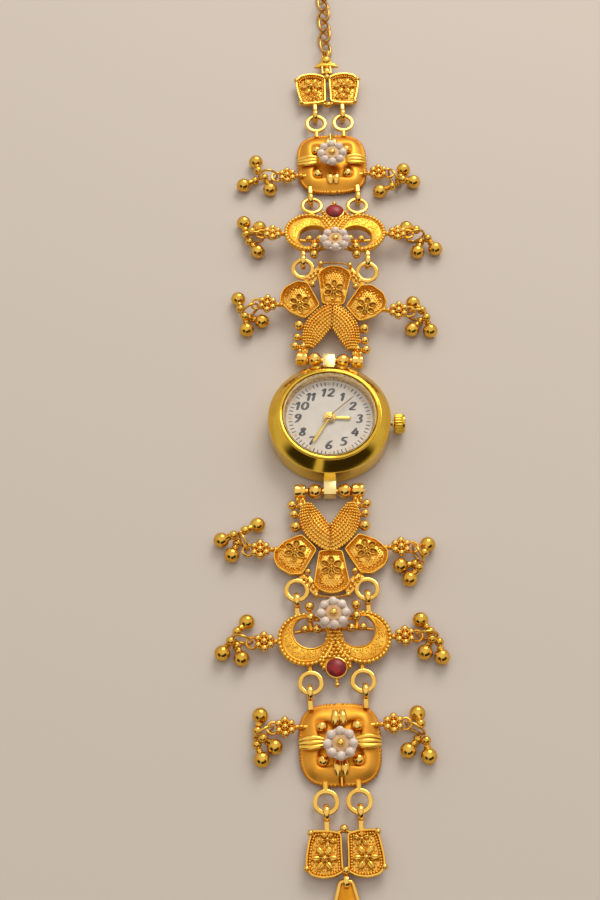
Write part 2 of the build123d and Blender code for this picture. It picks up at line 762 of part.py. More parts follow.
def clasp_hook():
    """A three-sided frame of wire with a hook beyond it, hung on the lower end plate."""
    half = hook_width / 2
    inner = end_loop_t / 2 + fit_gap * 3
    outer = inner + hook_wire * 0.8
    frame = outline([(-outer, -hook_wire / 2), (outer, -hook_wire / 2),
                     (half, hook_frame_length), (-half, hook_frame_length)])
    hole = outline([(-inner, hook_wire / 2), (inner, hook_wire / 2),
                    (half - hook_wire, hook_frame_length - hook_wire),
                    (-half + hook_wire, hook_frame_length - hook_wire)])
    shank = Pos(0, hook_frame_length + hook_length / 2 - hook_wire / 2) * Rectangle(hook_wire, hook_length)
    bend_v = hook_frame_length + hook_length - hook_wire
    bend = RegularPolygon(hook_bend_r + hook_wire / 2, 16) - RegularPolygon(hook_bend_r - hook_wire / 2, 16)
    bend = Pos(hook_bend_r, bend_v) * bend
    bend = bend - Pos(hook_bend_r, bend_v - hook_bend_r * 2) * Rectangle(hook_bend_r * 4, hook_bend_r * 4)
    point_length = hook_length * 0.45
    point = Pos(hook_bend_r * 2, bend_v - point_length / 2) * Rectangle(hook_wire, point_length)
    flat = frame - hole + shank + bend + point
    body = slab(flat, -hook_wire / 2, hook_wire / 2)
    return body


def chain_bail():
    """The flared cap above the upper end plate, with its ball and the eye for the chain."""
    half = bail_width / 2
    pin_part = end_loop_bore * 0.8
    hanger_face = RegularPolygon(end_loop_bore * 0.6, 8)
    hanger = Rot(0, 90, 0) * slab(hanger_face, -end_loop_t * 1.1, end_loop_t * 1.1)
    ear = slab(Rectangle(end_loop_t * 0.4, bail_length * 0.9), -pin_part * 0.8, pin_part * 0.8)
    ear_x = end_loop_t * 0.5 + end_loop_t * 0.4
    cap = outline([(-half, bail_length * 0.75), (half, bail_length * 0.75),
                   (half * 0.45, bail_length * 1.35), (-half * 0.45, bail_length * 1.35)])
    body = slab(cap, -plate_t / 2, plate_t / 2)
    ball = Pos(0, bail_length * 1.5, 0) * faceted_ball(bail_ball_r, 8)
    loop_v = bail_length * 1.5 + bail_ball_r + end_loop_bore
    loop = flat_ring(end_loop_bore + end_loop_wall / 2, end_loop_wall, chain_wire, 8)
    loop = Pos(0, loop_v, 0) * Rot(0, -chain_roll, 0) * loop
    pieces = [hanger, body, ball, loop]
    pieces += both_sides(Pos(ear_x, bail_length * 0.4, 0) * ear)
    return fused(pieces)


def chain_ring():
    """One long chain ring, centred on its own middle, lying flat."""
    half_l = chain_link_length / 2
    half_w = chain_width / 2
    corner = half_w * 0.6
    outer = outline([(half_w, -half_l + corner), (half_w, half_l - corner), (half_w - corner, half_l),
                     (-half_w + corner, half_l), (-half_w, half_l - corner), (-half_w, -half_l + corner),
                     (-half_w + corner, -half_l), (half_w - corner, -half_l)])
    return slab(outer - shrunk(outer, chain_wire), -chain_wire / 2, chain_wire / 2)


save("case_middle", case_middle())
save("bezel", bezel())
save("case_back", case_back())
skirt_top = back_t + skirt_h
back_seal = seal(skirt_r - skirt_wall / 2, skirt_wall, skirt_top, skirt_top + back_seal_t, back_seal_sides)
save("back_gasket", back_seal)
save("crystal", Pos(0, 0, glass_bottom + glass_t / 2) * Cylinder(glass_r, glass_t))
seal_top = glass_bottom + glass_t * 0.8
glass_seal = seal(glass_r + glass_seal_t * 0.65, glass_seal_t * 0.5, glass_bottom, seal_top, seal_sides)
save("crystal_gasket", glass_seal)
save("rehaut_ring", rehaut())
dial_face = RegularPolygon(movement_bore_r - fit_gap * 2, hidden_sides, major_radius=False)
save("dial", slab(dial_face - bore(dial_hole_r), dial_bottom, dial_top))
save("movement_plate", movement())
save("battery_cell", battery())
save("drive_coil", coil())
hour_top = dial_top + hand_step + hand_t
minute_top = hour_top + hand_step
second_top = minute_top + hand_step
save("hour_wheel", wheel_with_pipe(hour_wheel_r, 2, hour_pipe_r, cannon_r + fit_gap, hour_top))
save("centre_wheel", wheel_with_pipe(centre_wheel_r, 1, cannon_r, arbor_r + fit_gap, minute_top))
save("seconds_wheel", wheel_with_pipe(seconds_wheel_r, 0, arbor_r, 0, second_top))
save("hour_hand", hand(hour_hand_length, hour_hand_width, 0, hour_pipe_r, 1, hour_angle))
save("minute_hand", hand(minute_hand_length, minute_hand_width, 0, cannon_r, 2, minute_angle))
save("second_hand", hand(second_hand_length, second_hand_width, second_hand_tail, arbor_r, 3, second_angle))
save("crown", crown())
save("stem", stem())
save("setting_lever", setting_lever())
save("upper_strap", strap())
save("lower_strap", Rot(0, 0, 180) * strap())

# For each bunch the heading of its jump ring, then for each bell its place round the ring and
# its heading, all in degrees
bell_places = {
    "upper_fan_bells_right": (0, ((5, 130), (45, 290), (-35, 230))),
    "upper_fan_bells_left": (210, ((5, 100), (-35, 340), (45, 280))),
    "upper_crescent_bells_right": (15, ((45, 145), (-35, 255), (5, 305))),
    "upper_crescent_bells_left": (180, ((-35, 100), (45, 50), (5, 310))),
    "upper_square_bells_right": (-60, ((-35, 70), (45, 10), (5, 200))),
    "upper_square_bells_left": (180, ((5, 100), (-35, 210), (45, 300))),
    "lower_fan_bells_left": (120, ((5, 30), (45, 190), (-35, 250))),
    "lower_fan_bells_right": (-60, ((45, 70), (-35, 190), (5, 230))),
    "lower_crescent_bells_left": (165, ((5, 50), (45, 230), (-35, 290))),
    "lower_crescent_bells_right": (0, ((-35, 130), (5, 280), (45, 240))),
    "lower_square_bells_left": (210, ((-35, 80), (45, 330), (5, 290))),
    "lower_square_bells_right": (-30, ((45, 100), (5, 280), (-35, 230))),
}

fan = fan_link()
crescents = crescent_link()
square = square_link()
plate = end_plate()
fan_loop_x = fan_half_width + flower_gap + side_loop_reach
crescent_loop_x = crescent_x + crescent_r + flower_gap + side_loop_reach
square_loop_x = square_flower_x + side_loop_reach

halves = (("upper", 1, upper_leans, upper_pitches, upper_play),
          ("lower", -1, lower_leans, lower_pitches, lower_play))
for half_name, way, leans, pitches, play in halves:
    hinge = Vector(play, pin_y * way, pin_z)
    frames = []
    pivots = (pin_z, hinge_z, hinge_z, hinge_z)
    lengths = (fan_length, crescent_length, square_length, end_length)
    for length, pivot, lean, pitch in zip(lengths, pivots, leans, pitches):
        turn = -lean if way > 0 else 180 + lean
        frame = Pos(hinge.X, hinge.Y, hinge.Z) * Rot(0, 0, turn) * Rot(pitch, 0, 0) * Pos(0, 0, -pivot)
        frames.append(frame)
        hinge = (frame * Pos(0, length, hinge_z)).position
    tail_turn = -leans[3] if way > 0 else 180 + leans[3]
    tail = Pos(hinge.X, hinge.Y, hinge.Z) * Rot(0, 0, tail_turn)
    pin_turn = -leans[0] if way > 0 else 180 + leans[0]
    pin_frame = Pos(0, pin_y * way, pin_z) * Rot(0, 0, pin_turn)
    save(half_name + "_cross_pin", pin_frame * cross_pin())
    beads = [pin_frame * Pos(side * pin_bead_x, 0, 0) * pin_bead() for side in (-1, 1)]
    save(half_name + "_pin_beads", Compound(children=beads))
    save(half_name + "_fan_link", frames[0] * fan)
    save(half_name + "_crescent_link", frames[1] * crescents)
    save(half_name + "_crescent_pearls", frames[1] * pearl_flower(pearl_v, pearl_base))
    save(half_name + "_ruby", frames[1] * ruby())
    save(half_name + "_square_link", frames[2] * square)
    save(half_name + "_square_pearls", frames[2] * pearl_flower(square_pearl_v, square_pearl_base))
    save(half_name + "_end_plate", frames[3] * plate)
    links = (("fan", frames[0], fan_loop_x, fan_flower_v),
             ("crescent", frames[1], crescent_loop_x, crescent_v),
             ("square", frames[2], square_loop_x, square_flower_v))
    for link_name, frame, loop_x, loop_v in links:
        for side in (1, -1):
            world_side = "right" if side * way > 0 else "left"
            name = half_name + "_" + link_name + "_bells_" + world_side
            loop = (frame * Pos(loop_x * side, loop_v, hinge_z)).position
            ring_turn, hangs = bell_places[name]
            save(name, Pos(loop.X, loop.Y, 0) * bell_bunch(loop.Z, ring_turn, hangs))
    if way < 0:
        save("clasp_hook", tail * Rot(hook_droop, 0, 0) * clasp_hook())
    else:
        save("chain_bail", tail * chain_bail())
        first = bail_length * 1.5 + bail_ball_r + end_loop_bore * 2 + chain_link_length / 2 - chain_wire
        first -= chain_slack
        for number in range(chain_count):
            roll = chain_roll if number % 2 == 0 else -chain_roll
            ring = tail * Pos(0, first + number * chain_pitch, 0) * Rot(0, roll, 0) * chain_ring()
            save("chain_ring_" + str(number + 1), ring)
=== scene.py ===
"""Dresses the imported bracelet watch: granulated gold links, polished case, pearls, stones and bells."""

import json
import math

import bmesh
import bpy
import numpy as np
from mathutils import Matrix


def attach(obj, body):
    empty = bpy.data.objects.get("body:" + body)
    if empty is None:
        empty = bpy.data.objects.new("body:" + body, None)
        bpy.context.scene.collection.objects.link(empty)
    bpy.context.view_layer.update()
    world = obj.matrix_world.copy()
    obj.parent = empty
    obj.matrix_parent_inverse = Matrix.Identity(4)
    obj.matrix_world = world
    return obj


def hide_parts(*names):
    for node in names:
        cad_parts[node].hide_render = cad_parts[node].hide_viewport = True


bl_info = {
    "name": "Bracelet Watch Dresser",
    "version": (1, 0, 0),
    "blender": (4, 5, 0),
    "location": "View3D > Sidebar > Watch",
    "description": "Builds the looks of a gold bracelet watch on its packed CAD frame",
    "category": "Object",
}

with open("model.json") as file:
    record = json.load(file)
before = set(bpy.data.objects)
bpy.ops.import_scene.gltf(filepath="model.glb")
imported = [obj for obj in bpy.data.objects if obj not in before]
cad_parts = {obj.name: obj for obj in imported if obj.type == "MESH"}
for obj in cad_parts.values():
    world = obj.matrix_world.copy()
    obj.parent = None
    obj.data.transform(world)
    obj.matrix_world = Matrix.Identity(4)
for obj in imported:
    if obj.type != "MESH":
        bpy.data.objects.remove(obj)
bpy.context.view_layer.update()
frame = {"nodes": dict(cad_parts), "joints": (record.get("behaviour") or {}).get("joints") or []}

MM = 0.001
JOINTS = {joint["name"]: joint for joint in frame["joints"]}

# Heights that the links share, in mm above the underside's table
HINGE_Z = 1.65
PIN_Z = 2.2
PLATE_LOW = 1.175
PLATE_TOP = 2.125
# The fan link's length and half width. Lengths here are in mm where nothing else is said
FAN_LENGTH = 22.3
FAN_HALF = 10.9
# The crescent's outer and inner circle: middle across, middle along the link, radius
CRESCENT_OUTER = (5.35, 7.9, 4.8)
CRESCENT_INNER = (4.35, 6.4, 3.25)
# Grains of the frosting on each side of a crescent link
FROST_GRAINS = 420
# The red stone's and the square frame's middle along their links
STONE_AT = 13.7
SQUARE_AT = 9.6
# Teeth milled into the square frame's edge
MILL_TEETH = 104
# The wire loop at the end of the bracelet: its middle along the end plate and its mean radius
END_LOOP_AT = 12.0
END_LOOP_RADIUS = 0.975
# The cross pins' distance from the watch's middle, and a loose bead's from the middle of its pin
PIN_AT = 14.6
LOOSE_BEAD_AT = 2.86
# Heights of the print: its underside, a hair above the lacquer, and the tops of numerals and marks
PRINT_LOW = 4.602
NUMERAL_TOP = 4.625
MARK_TOP = 4.62

# For each bunch the heading of its jump ring, then for each bell its place round the ring and
# its heading, in degrees
BELL_BUNCHES = {
    "upper_fan_bells_right": (0, ((5, 130), (45, 290), (-35, 230))),
    "upper_fan_bells_left": (210, ((5, 100), (-35, 340), (45, 280))),
    "upper_crescent_bells_right": (15, ((45, 145), (-35, 255), (5, 305))),
    "upper_crescent_bells_left": (180, ((-35, 100), (45, 50), (5, 310))),
    "upper_square_bells_right": (-60, ((-35, 70), (45, 10), (5, 200))),
    "upper_square_bells_left": (180, ((5, 100), (-35, 210), (45, 300))),
    "lower_fan_bells_left": (120, ((5, 30), (45, 190), (-35, 250))),
    "lower_fan_bells_right": (-60, ((45, 70), (-35, 190), (5, 230))),
    "lower_crescent_bells_left": (165, ((5, 50), (45, 230), (-35, 290))),
    "lower_crescent_bells_right": (0, ((-35, 130), (5, 280), (45, 240))),
    "lower_square_bells_left": (210, ((-35, 80), (45, 330), (5, 290))),
    "lower_square_bells_right": (-30, ((45, 100), (5, 280), (-35, 230))),
}
# Pitch in degrees of what doesn't lie level, and the fan links' shift from their hinge's middle
LINK_PITCH = {"upper_fan": 7.7, "upper_crescent": -9.5}
HOOK_PITCH = -5.5
FAN_ASIDE = {"upper_fan": 0.2, "lower_fan": -0.2}
CHAIN_RINGS = 6

# Linear light of the room by height, from the floor's level to the zenith, and of its dim patch
ROOM_TONES = ((0.0, (0.76, 0.71, 0.64, 1)), (0.45, (0.86, 0.83, 0.79, 1)), (0.8, (1.05, 1.03, 1.0, 1)),
              (1.0, (1.16, 1.14, 1.11, 1)))
PATCH_TONE = (0.04, 0.032, 0.02, 1)
# Where the patch fades in: half its spread in radians, its lower edge and its upper edge by height
PATCH_SPREAD = (1.48, 1.10)
PATCH_LOW = (0.10, 0.24)
PATCH_HIGH = (0.80, 0.64)
# The bright gap in the patch: its heading in degrees and the fade of its edges in radians
GAP_HEADING = 16.0
GAP_FADE = (0.07, 0.14)
# The lamp's place and side in metres and its power in watts, and half the floor's side in metres
LAMP_AT = (0.14, 0.45, 0.42)
LAMP_SIZE = 0.34
LAMP_POWER = 1.8
FLOOR_HALF = 3.0
# The camera's place, its tilt in degrees, and its frame's height and focal length
EYE_AT = (-5.777, -154.13, 289.56)
EYE_TILT = 27.33
FRAME_HEIGHT = 36
FOCAL_LENGTH = 66.16

# Mesh makers


class Shells:
    """Closed surfaces gathered into one mesh. Each is rows of points, every row a closed loop."""

    def __init__(self):
        self.points = []
        self.quads = []
        self.caps = []
        self.total = 0

    def add(self, rows, wrap=False, place=None):
        """Takes (rows, loop, 3) or (copies, rows, loop, 3) points in mm. With wrap the last row meets
        the first, and otherwise the end rows are closed by flat faces. place is (matrix, offset)."""
        pts = np.asarray(rows, float)
        if pts.ndim == 3:
            pts = pts[None]
        if place is not None:
            pts = pts @ np.asarray(place[0], float).T + np.asarray(place[1], float)
        copies, count, loop, _ = pts.shape
        row = np.arange(count if wrap else count - 1)[:, None]
        col = np.arange(loop)[None, :]
        after_row = (row + 1) % count
        after_col = (col + 1) % loop
        corners = (row * loop + col, row * loop + after_col, after_row * loop + after_col, after_row * loop + col)
        quad = np.stack([c + 0 * (row + col) for c in corners], -1).reshape(-1, 4)
        start = self.total + np.arange(copies) * count * loop
        self.quads.append((quad[None] + start[:, None, None]).reshape(-1, 4))
        if not wrap:
            first = np.arange(loop)[::-1]
            last = (count - 1) * loop + np.arange(loop)
            self.caps.append((np.stack([first, last])[None] + start[:, None, None]).reshape(-1, loop))
        self.points.append(pts.reshape(-1, 3))
        self.total += copies * count * loop

    def piece(self, name, body, finish, slot, hides=(), crisp=40.0):
        """Puts the gathered surfaces into one mesh object in metres that rides on a body. Edges
        steeper than crisp degrees stay sharp."""
        mesh = bpy.data.meshes.new(name)
        points = np.concatenate(self.points) * MM
        groups = [np.concatenate(self.quads)] + self.caps
        loops = np.concatenate([g.reshape(-1) for g in groups]).astype(np.int32)
        sizes = np.concatenate([np.full(len(g), g.shape[1]) for g in groups]).astype(np.int32)
        starts = np.concatenate([[0], np.cumsum(sizes)[:-1]]).astype(np.int32)
        mesh.vertices.add(len(points))
        mesh.vertices.foreach_set("co", points.astype(np.float32).reshape(-1))
        mesh.loops.add(len(loops))
        mesh.loops.foreach_set("vertex_index", loops)
        mesh.polygons.add(len(sizes))
        mesh.polygons.foreach_set("loop_start", starts)
        mesh.polygons.foreach_set("loop_total", sizes)
        mesh.update(calc_edges=True)
        mesh.validate()
        shape = bmesh.new()
        shape.from_mesh(mesh)
        bmesh.ops.recalc_face_normals(shape, faces=shape.faces)
        shape.to_mesh(mesh)
        shape.free()
        mesh.polygons.foreach_set("use_smooth", np.ones(len(mesh.polygons), bool))
        mesh.set_sharp_from_angle(angle=math.radians(crisp))
        mesh.materials.append(FINISH[finish])
        piece = bpy.data.objects.new(name, mesh)
        bpy.context.scene.collection.objects.link(piece)
        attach(piece, body)
        if hides:
            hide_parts(*hides)
        return piece


def turn_z(degrees):
    """A turn about Z."""
    a = math.radians(degrees)
    return np.array([[math.cos(a), -math.sin(a), 0], [math.sin(a), math.cos(a), 0], [0, 0, 1]])


def turn_x(degrees):
    """A turn about X."""
    a = math.radians(degrees)
    return np.array([[1, 0, 0], [0, math.cos(a), -math.sin(a)], [0, math.sin(a), math.cos(a)]])


def turn_y(degrees):
    """A turn about Y."""
    a = math.radians(degrees)
    return np.array([[math.cos(a), 0, math.sin(a)], [0, 1, 0], [-math.sin(a), 0, math.cos(a)]])


def joined(outer, inner):
    """Places one (matrix, offset) inside another."""
    return outer[0] @ inner[0], outer[0] @ np.asarray(inner[1], float) + np.asarray(outer[1], float)


def rounded_loop(width, height, steps, power=2.0):
    """A superellipse: across = w/2 |cos|^(2/p), up = h/2 |sin|^(2/p), with the signs kept."""
    turn = np.linspace(0, 2 * np.pi, steps, endpoint=False) + np.pi / steps
    c, s = np.cos(turn), np.sin(turn)
    return np.stack([width / 2 * np.sign(c) * np.abs(c) ** (2 / power),
                     height / 2 * np.sign(s) * np.abs(s) ** (2 / power)], -1)


def spaced(points, count, closed=True):
    """Points at equal steps along a run of straight lines."""
    pts = np.asarray(points, float)
    if closed:
        pts = np.concatenate([pts, pts[:1]])
    run = np.concatenate([[0], np.cumsum(np.linalg.norm(np.diff(pts, axis=0), axis=1))])
    at = np.linspace(0, run[-1], count, endpoint=not closed)
    return np.stack([np.interp(at, run, pts[:, i]) for i in range(pts.shape[1])], -1)


def eased(points, times=2, closed=True):
    """Rounds a run of points: each moves to the mean of itself and its two neighbours."""
    pts = np.asarray(points, float)
    for _ in range(times):
        ahead, behind = np.roll(pts, -1, 0), np.roll(pts, 1, 0)
        mean = pts / 2 + (ahead + behind) / 4
        if not closed:
            mean[0], mean[-1] = pts[0], pts[-1]
        pts = mean
    return pts


def swept(path, loop, up=(0, 0, 1), closed=True, scale=None):
    """A loop carried along a path: point + side * across + up' * height, where side is the path's
    heading crossed with up, and up' is square to both. scale changes the loop's size on the way."""
    path = np.asarray(path, float)
    if closed:
        heading = np.roll(path, -1, 0) - np.roll(path, 1, 0)
    else:
        heading = np.gradient(path, axis=0)
    heading /= np.linalg.norm(heading, axis=1, keepdims=True)
    side = np.cross(heading, np.asarray(up, float))
    side /= np.linalg.norm(side, axis=1, keepdims=True)
    lift = np.cross(side, heading)
    size = np.ones(len(path)) if scale is None else np.asarray(scale, float)
    return (path[:, None] + side[:, None] * loop[None, :, :1] * size[:, None, None]
            + lift[:, None] * loop[None, :, 1:] * size[:, None, None])


def rod(points, count, width, height, sides=8, power=2.0):
    """A rounded section carried along straight lines, with count rows at equal steps."""
    return swept(spaced(points, count, closed=False), rounded_loop(width, height, sides, power), closed=False)


def lathed(profile, steps=48):
    """A profile of (radius, height) turned about Z: (r cos a, r sin a, h)."""
    prof = np.asarray(profile, float)
    a = np.linspace(0, 2 * np.pi, steps, endpoint=False)
    return np.stack([prof[:, None, 0] * np.cos(a), prof[:, None, 0] * np.sin(a),
                     prof[:, None, 1] + 0 * a], -1)


def balls(centres, radii, rings=5, steps=8, squash=1.0):
    """Many balls at once: centre + r (cos b cos a, cos b sin a, squash sin b), with b from pole to
    pole and a flat face at each pole."""
    centres = np.asarray(centres, float).reshape(-1, 3)
    radii = np.broadcast_to(np.asarray(radii, float), (len(centres),))
    b = np.linspace(-1, 1, rings) * (np.pi / 2 - np.pi / 2 / (rings + 1.5))
    a = np.linspace(0, 2 * np.pi, steps, endpoint=False)
    unit = np.stack([np.cos(b)[:, None] * np.cos(a), np.cos(b)[:, None] * np.sin(a),
                     np.sin(b)[:, None] * squash + 0 * a], -1)
    return centres[:, None, None] + radii[:, None, None, None] * unit[None]


def prism(outline, low, high, rounding=0.12, steps=3):
    """An outline raised from low to high with rounded edges: each edge row is drawn in by
    r (1 - cos) along the outline's inward normal while it climbs by r sin."""
    out = np.asarray(outline, float)
    area = np.sum(out[:, 0] * np.roll(out[:, 1], -1) - np.roll(out[:, 0], -1) * out[:, 1])
    if area < 0:
        out = out[::-1]
    heading = np.roll(out, -1, 0) - np.roll(out, 1, 0)
    heading /= np.linalg.norm(heading, axis=1, keepdims=True) + 1e-9
    inward = np.stack([-heading[:, 1], heading[:, 0]], -1)
    bend = np.linspace(0, np.pi / 2, steps)
    rows = [(1 - math.sin(t), low + rounding * (1 - math.cos(t))) for t in bend]
    rows += [(1 - math.cos(t), high - rounding * (1 - math.sin(t))) for t in bend]
    return np.stack([np.concatenate([out + inward * rounding * share, np.full((len(out), 1), z)], 1)
                     for share, z in rows])


def ring_path(radius, steps=40, centre=(0, 0, 0)):
    """A level circle."""
    a = np.linspace(0, 2 * np.pi, steps, endpoint=False)
    return np.stack([radius * np.cos(a), radius * np.sin(a), 0 * a], -1) + np.asarray(centre, float)


def standing_path(radius, steps, centre):
    """A circle that stands along the link, with the hinge's direction as its axis."""
    a = np.linspace(0, 2 * np.pi, steps, endpoint=False)
    return np.stack([0 * a, radius * np.cos(a), radius * np.sin(a)], -1) + np.asarray(centre, float)


def hoop(radius, steps, centre, width, height, sides, power=2.0):
    """A level ring of rounded section."""
    return swept(ring_path(radius, steps, centre), rounded_loop(width, height, sides, power))


def on_circle(circle, turns, more=0.0):
    """Flat points at the given turns on a circle (across, along, radius), its radius grown by more."""
    x, y, radius = circle
    return np.array([x, y]) + (radius + more) * np.stack([np.cos(turns), np.sin(turns)], -1)


def lifted(flat, z):
    """Flat points at one height."""
    flat = np.asarray(flat, float)
    return np.concatenate([flat, np.full((len(flat), 1), z)], 1)


def beads(table, side, z, rings=10, steps=16):
    """Balls from a table of (across, along, radius), mirrored by side, their middles at height z."""
    spots = np.asarray(table, float)
    return balls(lifted(spots[:, :2] * np.array([side, 1]), z), spots[:, 2], rings, steps)


def pillow(inner, outer, steps, rise, bulge):
    """A pillow between two edges: share s of the way across, its top is at plate top + rise +
    bulge sin(pi s), and its underside is flat."""
    across = np.linspace(0, 1, steps)
    share = np.concatenate([across, np.linspace(1, 0, steps)])
    high = np.concatenate([PLATE_TOP + rise + bulge * np.sin(np.pi * across), np.full(steps, PLATE_LOW)])
    flat = (1 - share)[None, :, None] * inner[:, None] + share[None, :, None] * outer[:, None]
    return np.concatenate([flat, np.broadcast_to(high[None, :, None], flat.shape[:2] + (1,))], -1)


def lay(place, *shells):
    """Moves gathered surfaces from a link's own frame to the watch's."""
    for shell in shells:
        shell.points = [points @ place[0].T + place[1] for points in shell.points]


def chosen(size):
    """A size from the settings in mm. Rounding takes off the noise of single precision."""
    return round(getattr(bpy.context.scene.watch_sizes, size) / MM, 4)


def hinge_place(joint_name, pitch=0.0):
    """The place of what swings on a joint: at its hinge, with X along the hinge and Z up before
    the pitch."""
    joint = JOINTS[joint_name]
    across = -np.asarray(joint["axis"], float)
    matrix = np.stack([across, np.cross([0, 0, 1], across), [0, 0, 1]], 1) @ turn_x(pitch)
    return matrix, np.asarray(joint["pos_m"], float) / MM


def link_place(name):
    """The place of a link: over its hinge, with the heights above the table as its own."""
    matrix, hinge = hinge_place(name + "_swing", LINK_PITCH.get(name, 0.0))
    hinge = hinge + np.array([FAN_ASIDE.get(name, 0.0), 0, 0])
    pivot = PIN_Z if name in FAN_ASIDE else HINGE_Z
    return matrix, hinge - matrix @ np.array([0, 0, pivot])


# Materials


def linear(code):
    """An sRGB hex value as linear light."""
    parts = [int(code[i:i + 2], 16) / 255 for i in (1, 3, 5)]
    return tuple(c / 12.92 if c <= 0.04045 else ((c + 0.055) / 1.055) ** 2.4 for c in parts) + (1.0,)


def node(tree, kind, settings=None, links=None):
    """Adds a node with its settings and links: {input: value} and {input: (node, output)}."""
    new = tree.nodes.new(kind)
    for key, value in (settings or {}).items():
        if isinstance(key, str) and hasattr(new, key) and key not in new.inputs:
            setattr(new, key, value)
        else:
            new.inputs[key].default_value = value
    for key, (source, output) in (links or {}).items():
        tree.links.new(source.outputs[output], new.inputs[key])
    return new


def blank(name):
    """An empty material, its tree, its output node and its object coordinates."""
    finish = bpy.data.materials.new(name)
    finish.use_nodes = True
    tree = finish.node_tree
    tree.nodes.clear()
    return finish, tree, tree.nodes.new("ShaderNodeOutputMaterial"), node(tree, "ShaderNodeTexCoord")


def noise(tree, where, size_mm, detail):
    """Noise whose features are size_mm across on the object."""
    return node(tree, "ShaderNodeTexNoise", {"Scale": 1 / (size_mm * MM), "Detail": detail},
                {"Vector": (where, "Object")})


def two_tones(tree, cloud, dark, light, margin):
    """Colour that drifts from dark to light between margin and 1 - margin of the noise."""
    tone = node(tree, "ShaderNodeValToRGB", links={"Fac": (cloud, "Fac")})
    ends = tone.color_ramp.elements
    ends[0].position, ends[0].color = margin, linear(dark)
    ends[1].position, ends[1].color = 1 - margin, linear(light)
    return tone


def metal(name, light, dark, rough, grain, depth, spread=0.1, cloud=3.0):
    """A metal: colour drifts between two tones in clouds, roughness follows the clouds, and fine
    grain lifts the surface by depth. Grain, depth and cloud are in mm."""
    finish, tree, out, where = blank(name)
    drift = noise(tree, where, cloud, 3.0)
    tone = two_tones(tree, drift, dark, light, 0.36)
    haze = node(tree, "ShaderNodeMapRange", {"To Min": rough - spread / 2, "To Max": rough + spread / 2},
                {"Value": (drift, "Fac")})
    lift = noise(tree, where, grain, 2.0)
    bump = node(tree, "ShaderNodeBump", {"Strength": 1.0, "Distance": depth * MM}, {"Height": (lift, "Fac")})
    shade = node(tree, "ShaderNodeBsdfPrincipled", {"Metallic": 1.0},
                 {"Base Color": (tone, "Color"), "Roughness": (haze, "Result"), "Normal": (bump, "Normal")})
    tree.links.new(shade.outputs[0], out.inputs[0])
    return finish


def dielectric(name, light, dark, rough, cloud, depth=0.0, coat=0.0):
    """A non-metal with a slow drift of colour and a faint unevenness. Cloud and depth are in mm."""
    finish, tree, out, where = blank(name)
    drift = noise(tree, where, cloud, 3.0)
    tone = two_tones(tree, drift, dark, light, 0.35)
    bump = node(tree, "ShaderNodeBump", {"Strength": 1.0, "Distance": depth * MM}, {"Height": (drift, "Fac")})
    shade = node(tree, "ShaderNodeBsdfPrincipled", {"Roughness": rough, "Coat Weight": coat, "Coat Roughness": 0.05},
                 {"Base Color": (tone, "Color"), "Normal": (bump, "Normal")})
    tree.links.new(shade.outputs[0], out.inputs[0])
    return finish


def watch_glass():
    """Mineral glass, pressed and polished: clear, with a weak mirror of the room. Light that goes
    through it to the dial passes as through air."""
    finish, tree, out, where = blank("pressed_mineral_glass")
    smear = noise(tree, where, 6.0, 2.0)
    rough = node(tree, "ShaderNodeMapRange", {"To Min": 0.0, "To Max": 0.006}, {"Value": (smear, "Fac")})
    shade = node(tree, "ShaderNodeBsdfPrincipled",
                 {"Base Color": linear("#FFFFFF"), "Transmission Weight": 1.0, "IOR": 1.46},
                 {"Roughness": (rough, "Result")})
    clear = node(tree, "ShaderNodeBsdfTransparent")
    path = node(tree, "ShaderNodeLightPath")
    either = node(tree, "ShaderNodeMath", {"operation": "MAXIMUM"},
                  {0: (path, "Is Shadow Ray"), 1: (path, "Is Diffuse Ray")})
    mix = node(tree, "ShaderNodeMixShader", links={0: (either, 0), 1: (shade, 0), 2: (clear, 0)})
    tree.links.new(mix.outputs[0], out.inputs[0])
    return finish


# Finishes by the name of what they are, made by make_finishes
FINISH = {}


